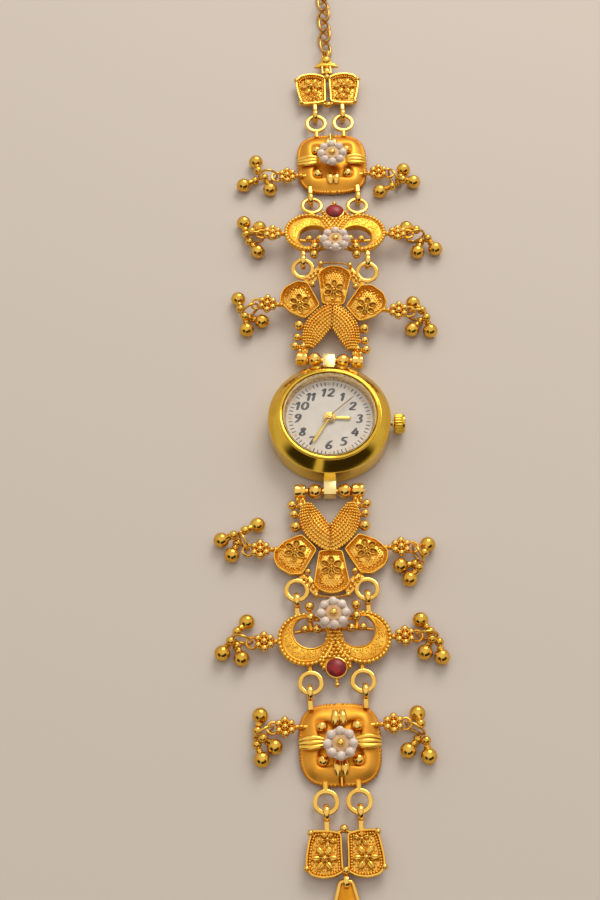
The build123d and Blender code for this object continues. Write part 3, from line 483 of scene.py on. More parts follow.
def make_finishes(tones):
    """All finishes of the watch by the name of what they are."""
    FINISH.update(
        # Gilded brass, buffed: mirror bright with faint haze and hairlines
        buffed_gilt=metal("buffed_gilded_brass", tones.polished, "#EFBB55", rough=0.12, grain=0.25, depth=0.002),
        # Gilded case, lathe turned and lapped: greener gold, very smooth
        lapped_case=metal("lapped_gilded_case", tones.case, "#E3B53C", rough=0.12, grain=0.15, depth=0.0012,
                          spread=0.05),
        # Gilded casting: soft bright high points over an uneven skin
        cast_gilt=metal("cast_gilded_brass", tones.cast, "#F3B846", rough=0.24, grain=0.18, depth=0.008,
                        spread=0.12, cloud=1.6),
        # Ground of the filigree: pickled, a little rougher than the wires over it
        filigree_ground=metal("pickled_gilt_ground", "#F7C45C", "#E8AB40", rough=0.32, grain=0.22, depth=0.006,
                              spread=0.12, cloud=1.0),
        # Hollows of the petals: gilding darkened as painted shade, for the shade that falls in them
        dark_gilt=metal("petal_hollow_painted_shade_gilt", "#B98432", "#8E5C1C", rough=0.3, grain=0.22, depth=0.004,
                        spread=0.12, cloud=1.0),
        # Frosted crescents: gilding over a matted skin, deeper in tone
        frosted_gilt=metal("frosted_gilded_crescent", "#EFB342", "#DF9C30", rough=0.36, grain=0.18, depth=0.006,
                           cloud=1.6),
        # Satin gilding of the square frames: matte orange gold
        satin_gilt=metal("satin_gilded_brass", tones.satin, "#DD9530", rough=0.46, grain=0.12, depth=0.004,
                         spread=0.08, cloud=2.5),
        # Straps: pale gilding over pressed sheet, lightly brushed
        strap_gilt=metal("pale_gilded_strap", "#FBE6A4", "#F3D584", rough=0.22, grain=0.2, depth=0.0015, spread=0.06),
        # Case wall: turned and only lightly lapped, so paler and softer than the bezel
        wall_gilt=metal("turned_gilded_wall", "#FFDC66", "#F7CC4C", rough=0.2, grain=0.15, depth=0.001, spread=0.05),
        # Deep recess: orange gold that has seen little polishing
        recess_gilt=metal("matte_gilt_recess", "#E9A333", "#D98E22", rough=0.46, grain=0.15, depth=0.006, cloud=2.0),
        # Bells: tumbled after gilding, darker and greener, with a clear mirror
        antique_gilt=metal("antique_gilded_bells", tones.bells, "#DDA740", rough=0.14, grain=0.25, depth=0.002,
                           spread=0.08, cloud=2.0),
        # Chain: drawn wire, gilded, dulled by wear
        chain_gilt=metal("gilded_chain_wire", "#E0AE5C", "#CC9748", rough=0.24, grain=0.2, depth=0.003, cloud=2.0),
        # Rehaut: pale champagne gilding, smooth enough to mirror the minute marks
        pale_rehaut=metal("champagne_gilt_rehaut", "#E6C480", "#D6B066", rough=0.14, grain=0.2, depth=0.0008,
                          spread=0.05),
        # Hands: stamped and gilded, a soft even shine
        hand_gilt=metal("stamped_gilt_hands", "#F3CE6A", "#E0B44A", rough=0.2, grain=0.2, depth=0.001, spread=0.06),
        # Movement pieces: turned steel, stamped brass and lacquered copper wire
        turned_steel=metal("turned_steel", "#9A9A98", "#77766F", rough=0.3, grain=0.12, depth=0.002),
        stamped_brass=metal("stamped_train_brass", "#D8B66A", "#BE984A", rough=0.3, grain=0.12, depth=0.002),
        coil_copper=metal("lacquered_copper_winding", "#C9733C", "#9C4F22", rough=0.35, grain=0.08, depth=0.01),
        # Dial: pale lacquer sprayed on brass, with near-black printed ink
        dial_lacquer=dielectric("sprayed_white_lacquer", tones.dial, "#C9BDAD", rough=0.42, cloud=2.0),
        numeral_ink=dielectric("pad_printed_ink", "#2E251D", "#3A3026", rough=0.55, cloud=0.6),
        # Hour squares: printed in matte gold ink, pinkish against the lacquer
        gold_ink=dielectric("printed_gold_ink", "#CDB083", "#BFA074", rough=0.5, cloud=0.4),
        # Glass seal: moulded clear nylon, coloured gold as a painted reflection of the gilding all round it
        seal_nylon=dielectric("clear_nylon_painted_gilt_reflection", "#D2B468", "#BF9E52", rough=0.3, cloud=1.0),
        # Case back seal: moulded black rubber, matte
        seal_rubber=dielectric("moulded_nitrile_rubber", "#1B1B1B", "#262626", rough=0.7, cloud=1.0),
        # Imitation pearl: glass bead dipped in pearl essence, a soft warm gleam
        pearl=dielectric("dipped_pearl", tones.pearl, "#D6BDAA", rough=0.24, cloud=1.2, depth=0.004, coat=0.5),
        # Disc inside the pearls: matte enamel in champagne
        champagne=dielectric("champagne_enamel", "#D8AE78", "#C79A62", rough=0.4, cloud=0.8),
        # Red glass cabochon: deep red with a worn, soft polish
        red_cabochon=dielectric("red_glass_cabochon", tones.stone, "#650508", rough=0.36, cloud=1.6),
        # Watch glass: pressed and polished, a weak mirror over the dial
        glass=watch_glass(),
        # Floor: uncoated paper
        paper=dielectric("matte_pale_paper", tones.paper, tones.paper, rough=0.9, cloud=40.0),
    )


# Shapes of the watch


def granule_rows(inner, outer, rows, pitch):
    """Places on a patch between two edges: row s lies at (1-s) inner + s outer, and each row is
    stepped at the granule pitch. Returns (places, s)."""
    places, shares = [], []
    for s in np.linspace(0, 1, rows):
        row = (1 - s) * inner + s * outer
        length = np.sum(np.linalg.norm(np.diff(row, axis=0), axis=1))
        count = max(2, int(round(length / pitch)) + 1)
        places.append(spaced(row, count, closed=False))
        shares.append(np.full(count, s))
    return np.concatenate(places), np.concatenate(shares)


def leaf_edges():
    """The notch edge and the outer edge of one leaf, from its tip to the middle of the link."""
    inner = spaced([(3.5, 2.75), (2.2, 4.3), (0.9, 6.25), (0.0, 7.5)], 40, closed=False)
    outer = spaced([(5.3, 2.95), (5.65, 4.5), (5.55, 6.6), (4.9, 8.7), (3.6, 10.4), (1.9, 11.8), (0.0, 12.7)], 40,
                   closed=False)
    return inner, eased(outer, 4, closed=False)


def fan_outline(kind):
    """The outline of the side fan or the middle fan, in shares of the link's half width and length."""
    if kind == "side":
        shares = [(0.50, 0.405), (0.24, 0.545), (0.50, 0.765), (0.70, 0.775), (0.93, 0.70), (0.995, 0.62),
                  (0.985, 0.555), (0.80, 0.465)]
    else:
        shares = [(-0.20, 0.56), (0.20, 0.56), (0.31, 0.86), (0.24, 0.905), (0.12, 0.94), (0, 0.948), (-0.12, 0.94),
                  (-0.24, 0.905), (-0.31, 0.86)]
    return np.array(shares) * np.array([FAN_HALF, FAN_LENGTH])


def inset(outline, depth):
    """A closed outline moved along its inward normal by depth, one value or one for each point."""
    out = np.asarray(outline, float)
    heading = np.roll(out, -1, 0) - np.roll(out, 1, 0)
    heading /= np.linalg.norm(heading, axis=1, keepdims=True) + 1e-9
    normal = np.stack([-heading[:, 1], heading[:, 0]], -1)
    turning = np.sum(out[:, 0] * np.roll(out[:, 1], -1) - np.roll(out[:, 0], -1) * out[:, 1])
    return out + normal * np.sign(turning) * np.broadcast_to(depth, (len(out),))[:, None]


def filling(outline, pitch, edge):
    """Places of a staggered grid inside an outline, at least edge away from it. Its rows stand 0.866
    of the pitch apart, as packed balls do."""
    out = np.asarray(outline, float)
    low, high = out.min(0), out.max(0)
    across = np.arange(low[0], high[0], pitch)
    along = np.arange(low[1], high[1], pitch * 0.866)
    spots = np.stack(np.meshgrid(across, along), -1)
    spots[1::2, :, 0] += pitch / 2
    spots = spots.reshape(-1, 2)
    after = np.roll(out, -1, 0)
    crosses = (out[:, 1] > spots[:, None, 1]) != (after[:, 1] > spots[:, None, 1])
    run = (after[:, 0] - out[:, 0]) / (after[:, 1] - out[:, 1] + 1e-12)
    left = spots[:, None, 0] < out[:, 0] + run * (spots[:, None, 1] - out[:, 1])
    within = np.sum(crosses & left, axis=1) % 2 == 1
    far = np.min(np.linalg.norm(spots[:, None] - out[None], axis=-1), axis=1) > edge
    return spots[within & far]


def petal_flower(wires, hollows, grains, centre, turn):
    """Six petals round a granule. Each is a wire ellipse 1.7 long and 1.24 across about a hollow that
    is darkened with painted shade, and a short stamen runs out to it from the granule."""
    wire = ring_path(1.0, 18) * np.array([0.84, 0.62, 0])
    hollow = prism(ring_path(1.0, 14)[:, :2] * np.array([0.72, 0.5]), -0.3, 0.0, 0.03)
    stamen = np.array([(0.25, 0, 0.1), (0.7, 0, 0.06), (1.2, 0, -0.06)])
    for k in range(6):
        way = turn_z(turn + 60 * k)
        middle = np.array([*centre, 2.1]) + way @ np.array([1.35, 0, 0])
        wires.add(swept(wire @ way.T + middle, rounded_loop(0.22, 0.44, 7)), wrap=True)
        hollows.add(hollow @ way.T + middle + np.array([0, 0, -0.19]))
        wires.add(swept(stamen @ way.T + np.array([*centre, 2.05]), rounded_loop(0.2, 0.22, 6), closed=False))
    grains.add(balls([(*centre, 2.2)], 0.34, 6, 10))


def filigree_fan(wires, hollows, grains, ground, kind, flower, turn, side=1):
    """A fan: a sunk ground, a raised wire rim, small wire circles inside it, a zigzag wire by the
    bowed edge, a flower of six petals and fine grains between them."""
    outline = fan_outline(kind) * np.array([side, 1])
    flower = np.array([flower[0] * side, flower[1]])
    rim_steps, step_length = 132, 0.22
    rim = eased(spaced(outline, rim_steps), 9)
    ground.add(prism(rim, PLATE_LOW, 1.88, 0.1))
    wires.add(swept(lifted(inset(rim, 0.04), 1.92), rounded_loop(0.32, 0.98, 8, 2.4)), wrap=True)
    row = spaced(inset(rim, 0.5), 46)
    row = row[np.linalg.norm(row - flower, axis=1) > 2.3]
    small = hoop(0.21, 10, (0, 0, 0), 0.14, 0.36, 5)
    wires.add(small[None] + lifted(row, 2.02)[:, None, None], wrap=True)
    # zigzag: its depth swings by 0.3 either way in a triangle wave 1.05 long
    wave = 2 * np.abs((np.arange(rim_steps) * step_length / 1.05) % 1.0 - 0.5) * 2 - 1
    zigzag = inset(rim, 1.12 + 0.3 * wave)
    bowed = (zigzag[:, 1] - flower[1] > 1.3) & (np.linalg.norm(zigzag - flower, axis=1) > 2.15)
    first = int(np.argmax(bowed & ~np.roll(bowed, 1)))
    zigzag, bowed = np.roll(zigzag, -first, 0), np.roll(bowed, -first)
    count = int(np.argmin(bowed)) if not bowed.all() else len(bowed)
    if count > 6:
        wires.add(swept(lifted(zigzag[:count], 2.02), rounded_loop(0.2, 0.4, 6), closed=False))
    spots = filling(rim, 0.5, 0.85)
    spots = spots[np.linalg.norm(spots - flower, axis=1) > 2.3]
    grains.add(balls(lifted(spots, 1.93), 0.17, 4, 6))
    petal_flower(wires, hollows, grains, flower, turn)


def side_rosette(grains, wires, polished, x, v, side):
    """Seven granules in a flower, its neck and the wire loop that carries the bells. x is the
    flower's place across the link and v its place along it."""
    ang = np.radians(np.arange(6) * 60 + 30)
    petals = lifted(on_circle((x * side, v, 1.3), ang), 2.1)
    polished.add(balls(np.concatenate([[(x * side, v, 2.35)], petals]), [0.66] + [0.72] * 6, 9, 14))
    disc = ring_path(1.35, 24, (x * side, v, 0))[:, :2]
    wires.add(prism(disc, PLATE_LOW, 1.9, 0.15))
    wires.add(rod([(side * (x - 4.3), v, HINGE_Z), (side * (x - 1.0), v, HINGE_Z)], 5, 0.8, 0.8, 10))
    grains.add(beads([(x - 2.15, v, 0.5), (x - 2.95, v, 0.5)], side, 1.9, 6, 10))
    wires.add(hoop(1.08, 28, (side * (x + 2.2), v, HINGE_Z), 0.5, 0.52, 8), wrap=True)


def joining_ring(shell, x, v):
    """A flat ring with softened edges, its band 0.9 wide and 0.6 high."""
    shell.add(hoop(chosen("joining_ring"), 44, (x, v, HINGE_Z), 0.9, 0.6, 14, 3.4), wrap=True)


def eye_loop(shell, x, reach):
    """A standing band about the hinge line, and the arm that runs from it to reach along the link."""
    band = standing_path(1.29, 28, (x, 0, HINGE_Z))
    shell.add(swept(band, rounded_loop(0.68, 1.1, 12, 2.6), up=(1, 0, 0)), wrap=True)
    shell.add(rod([(x, 1.2, HINGE_Z), (x, reach, HINGE_Z)], 6, 1.05, 0.95, 10, 3))


def fan_link_dress(name):
    """The fan link: two granulated leaves, three filigree fans, side beads, barrels and rings."""
    grains, wires, polished, floor, rings, hollows = (Shells() for _ in range(6))
    inner, outer = leaf_edges()
    rise, bulge = 0.1, 0.45
    spots, share = granule_rows(inner, outer, 8, 0.6)
    height = PLATE_TOP + rise + 0.16 + bulge * np.sin(np.pi * share)
    granules = np.concatenate([spots, height[:, None]], 1)
    brace = np.array([(2.4, 20.2), (2.95, 21.8), (5.2, 19.2), (6.4, 17.9), (5.6, 16.9), (4.1, 17.3)])
    # tables of (across, along, radius)
    bright = [(4.4, 16.7, 0.62), (3.0, 21.5, 0.6), (3.9, 19.0, 0.36), (4.5, 18.3, 0.34), (3.5, 20.0, 0.36),
              (5.2, 18.0, 0.34), (5.5, 2.9, 0.68), (7.2, 2.8, 0.92), (6.85, 4.8, 0.86), (6.65, 7.4, 1.05)]
    dull = [(3.3, 18.7, 0.3), (4.2, 19.6, 0.3), (3.1, 19.4, 0.3), (4.9, 18.9, 0.3)]
    # barrel: a polished sleeve with a shallow groove round its middle, as (radius, place on the pin)
    sleeve = [(0.62, -1.12), (1.2, -1.12), (1.38, -0.94), (1.43, -0.25), (1.34, -0.07), (1.34, 0.07), (1.43, 0.25),
              (1.38, 0.94), (1.2, 1.12), (0.62, 1.12)]
    sleeve_at = 5.6
    curl = ring_path(0.44, 14) @ turn_y(90).T
    for side in (1, -1):
        flip = np.array([side, 1, 1])
        floor.add(pillow(inner, outer, 9, rise, bulge) * flip)
        grains.add(balls(granules * flip, chosen("granule"), 6, 9))
        filigree_fan(wires, hollows, grains, floor, "side", (6.75, 12.3), 20 * side, side)
        floor.add(prism(eased(spaced(brace * flip[:2], 40), 2), PLATE_LOW, 1.75, 0.1))
        polished.add(beads(bright, side, 2.15))
        grains.add(beads(dull, side, 1.95, 4, 7))
        for v in (2.9, 4.8, 7.2):
            wires.add(rod([(4.8 * side, v + 0.2, HINGE_Z), (6.9 * side, v, 1.75)], 4, 0.85, 0.8))
        joining_ring(rings, 6.6 * side, FAN_LENGTH - 2.0)
        side_rosette(grains, wires, polished, FAN_HALF + 2.5, 11.9, side)
        rings.add(lathed(sleeve, 40) @ turn_y(90).T + np.array([sleeve_at * side, 0, PIN_Z]), wrap=True)
        for off in (-0.52, 0.52):
            wires.add(swept(curl + np.array([sleeve_at * side + off, 1.75, 2.15]), rounded_loop(0.34, 0.5, 7),
                            up=(1, 0, 0)), wrap=True)
        wires.add(rod([(5.4 * side, 1.3, 1.55), (5.1 * side, 3.4, HINGE_Z)], 4, 1.7, 0.8, 10, 3))
    grains.add(balls([(0, 12.3, 2.45)], 0.36, 6, 10))
    filigree_fan(wires, hollows, grains, floor, "middle", (0, 15.8), 30)
    # bow at the middle fan's end: a wire 2.9 to either side, 0.35 further on in its middle
    bow = np.linspace(-1, 1, 21)
    arc = np.stack([2.9 * bow, 21.9 - 0.35 * bow ** 2, 2.0 + 0 * bow], -1)
    wires.add(swept(arc, rounded_loop(0.3, 0.3, 7), closed=False))
    grains.add(balls(arc + np.array([0, 0, 0.12]), 0.17, 4, 6))
    lay(link_place(name), grains, wires, polished, floor, rings, hollows)
    grains.piece(name + "_granulation", name, "cast_gilt", "gold_cast", crisp=60)
    wires.piece(name + "_filigree", name, "cast_gilt", "gold_cast", hides=(name + "_link",))
    polished.piece(name + "_beads", name, "buffed_gilt", "gold_cast", crisp=60)
    floor.piece(name + "_ground", name, "filigree_ground", "gold_cast")
    # The petal hollows' finish is darkened gilding: painted shade in the hollows
    hollows.piece(name + "_petal_hollows", name, "dark_gilt", "gold_cast")
    rings.piece(name + "_rings", name, "buffed_gilt", "gold_cast")


def pearl_rosette(name, title, v, base):
    """Eight pearls in a scalloped setting over a champagne disc with a gold bead. v is its place
    along the link and base the height of the setting. The setting's edge is a circle whose
    radius swings eight times round by 0.16 cos."""
    pearls, disc, gold = Shells(), Shells(), Shells()
    ang = np.radians(np.arange(8) * 45 + 90)
    spots = lifted(on_circle((0, v, 2.3), ang), base + 0.62)
    pearls.add(balls(spots, chosen("pearl"), 12, 20, 0.84))
    a = np.linspace(0, 2 * np.pi, 96, endpoint=False)
    pearls.add(prism(on_circle((0, v, 3.02), a, 0.16 * np.cos(8 * a)[:, None]), base + 0.05, base + 0.42, 0.2, 5))
    # turned profiles as (radius, height above the base)
    rise = np.array([0, base])
    plate = np.array([(0.02, 0.6), (1.46, 0.6), (1.52, 0.72), (1.3, 0.78), (0.02, 0.74)]) + rise
    cup = np.array([(0.9, -2.0), (1.15, -1.3), (2.2, -0.35), (2.62, -0.2), (2.68, -0.08), (2.5, 0.04),
                    (0.3, 0.04)]) + rise
    disc.add(lathed(plate, 32) + np.array([0, v, 0]))
    gold.add(balls([(0, v, base + 0.9)], 0.72, 10, 16, 0.75))
    gold.add(lathed(cup, 48) + np.array([0, v, 0]))
    lay(link_place(name), pearls, disc, gold)
    pearls.piece(title, name, "pearl", "pearl", hides=(title.replace("_rosette", "_pearls"),), crisp=60)
    disc.piece(title + "_disc", name, "champagne", "pearl")
    gold.piece(title + "_setting", name, "buffed_gilt", "gold_cast", crisp=60)


def crescent_link_dress(name):
    """The crescent link: granule borders round frosted crescents, beads, pearls and a red stone."""
    grains, wires, polished, rings, stone = (Shells() for _ in range(5))
    # table of (across, along, radius)
    bright = [(4.35, 1.45, 0.92), (4.25, 3.65, 0.95), (5.4, 5.9, 0.78), (3.15, 5.95, 0.86)]
    for side in (1, -1):
        flip = np.array([side, 1, 1])
        # crescent body: round the whole turn a share joins the small circle to the large one, and
        # the two all but meet at the inner corner
        a = np.linspace(0, 2 * np.pi, 110, endpoint=False)
        body = pillow(on_circle(CRESCENT_INNER, a), on_circle(CRESCENT_OUTER, a), 7, 0.1, 0.14)
        wires.add(body * flip, wrap=True)
        border = np.radians(np.linspace(-88, 205, 32))
        grains.add(balls(lifted(on_circle(CRESCENT_OUTER, border, 0.06), 2.25) * flip, 0.46, 7, 11))
        # two wires on the crescent: how much smaller than the outer circle, shift, width
        arc = np.radians(np.linspace(-95, 208, 90))
        for less, shift, wide in ((0.52, 0.0, 0.24), (1.38, 1.0, 0.3)):
            line = on_circle(CRESCENT_OUTER, arc, -less) - shift * np.array([1.0, 1.5])
            wires.add(swept(lifted(line, 2.3) * flip, rounded_loop(wide, 0.36, 7), closed=False))
        # frosting: fine grains strewn over the crescent between the wires
        strew = np.random.default_rng(7 if side > 0 else 8)
        turn = np.radians(strew.uniform(-85, 200, FROST_GRAINS))
        part = strew.uniform(0.1, 0.9, FROST_GRAINS)[:, None]
        dots = (1 - part) * on_circle(CRESCENT_INNER, turn, 0.35) + part * on_circle(CRESCENT_OUTER, turn, -0.65)
        grains.add(balls(lifted(dots, 2.28) * flip, strew.uniform(0.13, 0.22, FROST_GRAINS), 3, 6))
        polished.add(beads(bright, side, 2.3))
        wires.add(rod([(1.4 * side, 5.9, 1.5), (5.3 * side, 5.9, 1.5), (7.3 * side, 6.2, 1.5)], 8, 0.6, 0.6))
        stem = [(4.4 * side, 1.4, HINGE_Z), (4.3 * side, 3.9, HINGE_Z), (4.2 * side, 6.0, HINGE_Z)]
        wires.add(rod(stem, 8, 0.9, 0.7))
        wires.add(rod([(4.3 * side, 3.8, HINGE_Z), (1.8 * side, 3.9, HINGE_Z)], 4, 0.7, 0.7))
        eye_loop(rings, 6.65 * side, 3.4)
        joining_ring(rings, 4.8 * side, 16.2)
        wires.add(rod([(4.8 * side, 12.5, 1.6), (4.8 * side, 14.2, 1.6)], 4, 0.9, 0.7, 10, 3))
        side_rosette(grains, wires, polished, 13.05, CRESCENT_OUTER[1], side)
    # centre: granules packed from the pearls to the stone and round its seat
    spine = np.array([(-1.5, 3.9), (1.5, 3.9), (1.4, 7), (3.0, 12.4), (2.4, 14), (-2.4, 14), (-3.0, 12.4), (-1.4, 7)])
    wires.add(prism(eased(spaced(spine, 60), 2), PLATE_LOW, PLATE_TOP, 0.12))
    spots = filling(spaced(spine * np.array([1.12, 1.0]), 90), 0.8, 0.3)
    spots = spots[(np.hypot(spots[:, 0], spots[:, 1] - STONE_AT) > 2.15) & (spots[:, 1] > 6.3)]
    grains.add(balls(lifted(spots, 2.34), 0.42, 6, 10))
    cup = [(0.5, 1.3), (1.9, 1.3), (2.04, 2.2), (1.98, 2.6), (1.86, 2.64), (1.8, 2.4), (0.4, 2.3)]
    rings.add(lathed(cup, 40) + np.array([0, STONE_AT, 0]))
    rings.add(rod([(0, STONE_AT + 1.9, HINGE_Z), (0, STONE_AT + 3.0, HINGE_Z)], 3, 0.5, 0.5))
    polished.add(balls([(0, STONE_AT + 3.05, 1.75)], 0.5, 10, 14))
    # stone: a quarter ellipse 1.82 wide and 1.0 high, turned, over a foot set in the cup
    b = np.linspace(0, np.pi / 2 * 0.97, 12)
    dome = np.stack([1.82 * np.cos(b), 2.5 + 1.0 * np.sin(b)], -1)
    stone.add(lathed(np.concatenate([[(1.0, 2.2), (1.82, 2.3)], dome]), 36) + np.array([0, STONE_AT, 0]))
    lay(link_place(name), grains, wires, polished, rings, stone)
    grains.piece(name + "_granulation", name, "cast_gilt", "gold_cast", crisp=60)
    wires.piece(name + "_frosted_body", name, "frosted_gilt", "gold_cast", hides=(name + "_link",))
    polished.piece(name + "_beads", name, "buffed_gilt", "gold_cast", crisp=60)
    rings.piece(name + "_rings", name, "buffed_gilt", "gold_cast")
    stone.piece(name + "_stone", name, "red_cabochon", "red_stone", hides=(name.split("_")[0] + "_ruby",), crisp=70)
    pearl_rosette(name, name + "_rosette", 3.75, 4.1)


def milled_frame():
    """The square link's frame. Its edge is a superellipse: 7.4 |cos|^(2/3.2) by 7.7 |sin|^(2/3.2).
    Each row is a share of that edge at one height, and the milling adds 0.014 cos of the teeth to the
    share. The inner edge is a lobed share, 0.56 + 0.075 cos 4(a - 45 degrees). Returns the rows, the edge
    and the inner shares."""
    steps = 6 * MILL_TEETH
    a = np.linspace(0, 2 * np.pi, steps, endpoint=False)
    c, s = np.cos(a), np.sin(a)
    power = 2 / 3.2
    edge = np.stack([7.4 * np.sign(c) * np.abs(c) ** power, 7.7 * np.sign(s) * np.abs(s) ** power], -1)
    lobe = 0.56 + 0.075 * np.cos(4 * (a - np.pi / 4))
    mill = 0.014 * np.cos(MILL_TEETH * a)
    rows = [(lobe - 0.02, 0.9), (0.975 + 0 * a, 0.9), (0.985 + mill, 0.62), (1.0 + mill, 0.8), (1.0 + mill, 1.15),
            (0.99 + mill, 1.32), (0.962 + mill * 0.6, 1.42), (0.95 + 0 * a, 1.36)]
    # dome: t runs inwards over nine rows, and the height rises and falls with a sine
    rows += [(0.95 - (0.95 - lobe - 0.06) * t, 1.33 + 1.0 * math.sin(t * np.pi / 2 * 1.15) / math.sin(1.8))
             for t in np.linspace(0.05, 1, 9)]
    rows += [(lobe + 0.02, 2.15), (lobe, 1.95), (lobe - 0.02, 1.4)]
    return np.stack([lifted(edge * share[:, None], z) for share, z in rows]), edge, lobe


def square_link_dress(name):
    """The square link: a domed satin frame with a milled edge, a deep recess, beads and petals."""
    dome, recess, polished, rings, wires, grains = (Shells() for _ in range(6))
    rows, edge, lobe = milled_frame()
    rows = rows + np.array([0, SQUARE_AT, 0])
    # the outer side of the frame is split: a slot 0.7 wide dips by its own depth
    near = np.exp(-(rows[..., 0] / 0.42) ** 6) * (rows[..., 1] > SQUARE_AT + 6.1)
    rows[..., 2] -= near * (rows[..., 2] - 0.9) * 0.85
    dome.add(rows, wrap=True)
    recess.add(prism(edge * (lobe + 0.03)[:, None] + np.array([0, SQUARE_AT]), 0.7, 1.42, 0.05))
    corners = [(x * 3.2, SQUARE_AT + y * 3.1, 1.95) for x in (-1, 1) for y in (-1, 1)]
    polished.add(balls(corners, 1.12, 12, 18, 0.9))
    rib, clip = np.linspace(0, 1, 16), np.linspace(0, 1, 14)
    for side in (1, -1):
        # side petal: three ribs that swell in the middle, from the pearls to the edge
        for off in (-0.72, 0.0, 0.72):
            x = 2.9 + 4.4 * rib
            y = SQUARE_AT + off * (0.75 + 0.5 * np.sin(np.pi * rib))
            z = 2.35 + 0.5 * np.sin(np.pi * (0.25 + 0.65 * rib)) - 0.35 * rib ** 3
            wires.add(swept(np.stack([x * side, y, z], -1), rounded_loop(0.95, 0.7, 10), closed=False,
                            scale=0.8 + 0.35 * np.sin(np.pi * rib)))
        # clips above and below: two bright petals with a groove between them
        for off in (-0.5, 0.5):
            x = off * (1.5 - 0.25 * clip)
            y = SQUARE_AT + side * (3.3 + 2.7 * clip)
            z = 2.4 + 0.34 * np.sin(np.pi * clip)
            polished.add(swept(np.stack([x, y, z], -1), rounded_loop(1.45, 0.9, 12), closed=False,
                               scale=0.7 + 0.35 * np.sin(np.pi * clip ** 0.8)))
        eye_loop(rings, 5.05 * side, 3.2)
        joining_ring(rings, 2.95 * side, 20.2)
        wires.add(rod([(2.95 * side, 16.6, 1.6), (2.95 * side, 18.3, 1.6)], 4, 0.95, 0.75, 10, 3))
        side_rosette(grains, wires, polished, 9.8, 6.3, side)
    wires.add(rod([(0, 15.6, 1.5), (0, 17.3, 1.4)], 4, 0.55, 0.9))
    lay(link_place(name), dome, recess, polished, rings, wires, grains)
    dome.piece(name + "_frame", name, "satin_gilt", "gold_satin", hides=(name + "_link",), crisp=50)
    recess.piece(name + "_recess", name, "recess_gilt", "gold_satin")
    polished.piece(name + "_beads", name, "buffed_gilt", "gold_cast", crisp=60)
    rings.piece(name + "_rings", name, "buffed_gilt", "gold_cast")
    wires.piece(name + "_petals", name, "cast_gilt", "gold_satin", crisp=60)
    grains.piece(name + "_neck_beads", name, "cast_gilt", "gold_cast", crisp=60)
    pearl_rosette(name, name + "_rosette", 10.3, 3.75)


def end_plate_dress(name):
    """The end plate: two petalled wings side by side, corner beads, eyes and the loop at the end."""
    wires, grains, polished, rings, floor = (Shells() for _ in range(5))
    wing = np.array([(0.55, 3.7), (2.4, 3.2), (5.6, 3.1), (6.2, 4.6), (6.75, 7.4), (6.9, 9.4), (6.0, 10.9),
                     (4.0, 11.4), (2.0, 11.2), (0.4, 10.4), (0.5, 8.4)])
    # flowers one above the other: middle across and along, petals' reach and size, their count and turn
    flowers = ((3.6, 8.0, 1.5, 1.0, 6, 0), (3.0, 4.7, 0.95, 0.66, 5, 18))
    for side in (1, -1):
        rim = eased(spaced(wing * np.array([side, 1]), 90), 3)
        floor.add(prism(rim, PLATE_LOW, 1.7, 0.1))
        wires.add(swept(lifted(inset(rim, 0.1), 1.95), rounded_loop(0.5, 1.0, 8, 2.6)), wrap=True)
        for x, v, reach, size, count, turn in flowers:
            heart = np.array([x * side, v, 2.0])
            petal = balls([(0, 0, 0)], size, 8, 14) * np.array([0.95, 0.66, 0.5])
            groove = np.array([(0.4, 0, 0.42), (reach, 0, 0.55), (reach + 0.6 * size, 0, 0.3)])
            for k in range(count):
                way = turn_z((turn + 360 / count * k) * side)
                wires.add(petal @ way.T + heart + way @ np.array([reach, 0, 0]))
                wires.add(swept(groove @ way.T + heart, rounded_loop(0.2, 0.22, 6), closed=False))
            polished.add(balls([heart + np.array([0, 0, 0.35])], 0.5 * size, 8, 12))
        polished.add(balls([(6.75 * side, 9.7, 2.15), (5.9 * side, 3.5, 2.1)], 0.62, 8, 12))
        eye_loop(rings, 3.0 * side, 3.6)
        grains.add(balls(lifted(spaced(inset(rim, 0.62), 44), 1.95), 0.27, 5, 8))
        grains.add(balls(lifted(filling(rim, 0.62, 0.95), 1.72), 0.24, 4, 7))
    polished.add(balls([(0, 2.85, 1.95), (0, 10.2, 2.35)], [0.8, 0.72], 10, 14))
    wires.add(rod([(-1.6, 3.5, HINGE_Z), (0, 3.2, HINGE_Z), (1.6, 3.5, HINGE_Z)], 7, 0.6, 0.8))
    loop = standing_path(END_LOOP_RADIUS, 28, (0, END_LOOP_AT, HINGE_Z))
    rings.add(swept(loop, rounded_loop(0.54, 1.0, 10, 3), up=(1, 0, 0)), wrap=True)
    wires.add(rod([(0, 9.9, HINGE_Z), (0, 11.1, HINGE_Z)], 3, 1.1, 0.9, 10, 3))
    lay(link_place(name), wires, grains, polished, rings, floor)
    wires.piece(name + "_wings", name, "cast_gilt", "gold_cast", hides=(name + "_plate",))
    grains.piece(name + "_granulation", name, "cast_gilt", "gold_cast", crisp=60)
    polished.piece(name + "_beads", name, "buffed_gilt", "gold_cast", crisp=60)
    rings.piece(name + "_rings", name, "buffed_gilt", "gold_cast")
    floor.piece(name + "_ground", name, "filigree_ground", "gold_cast")


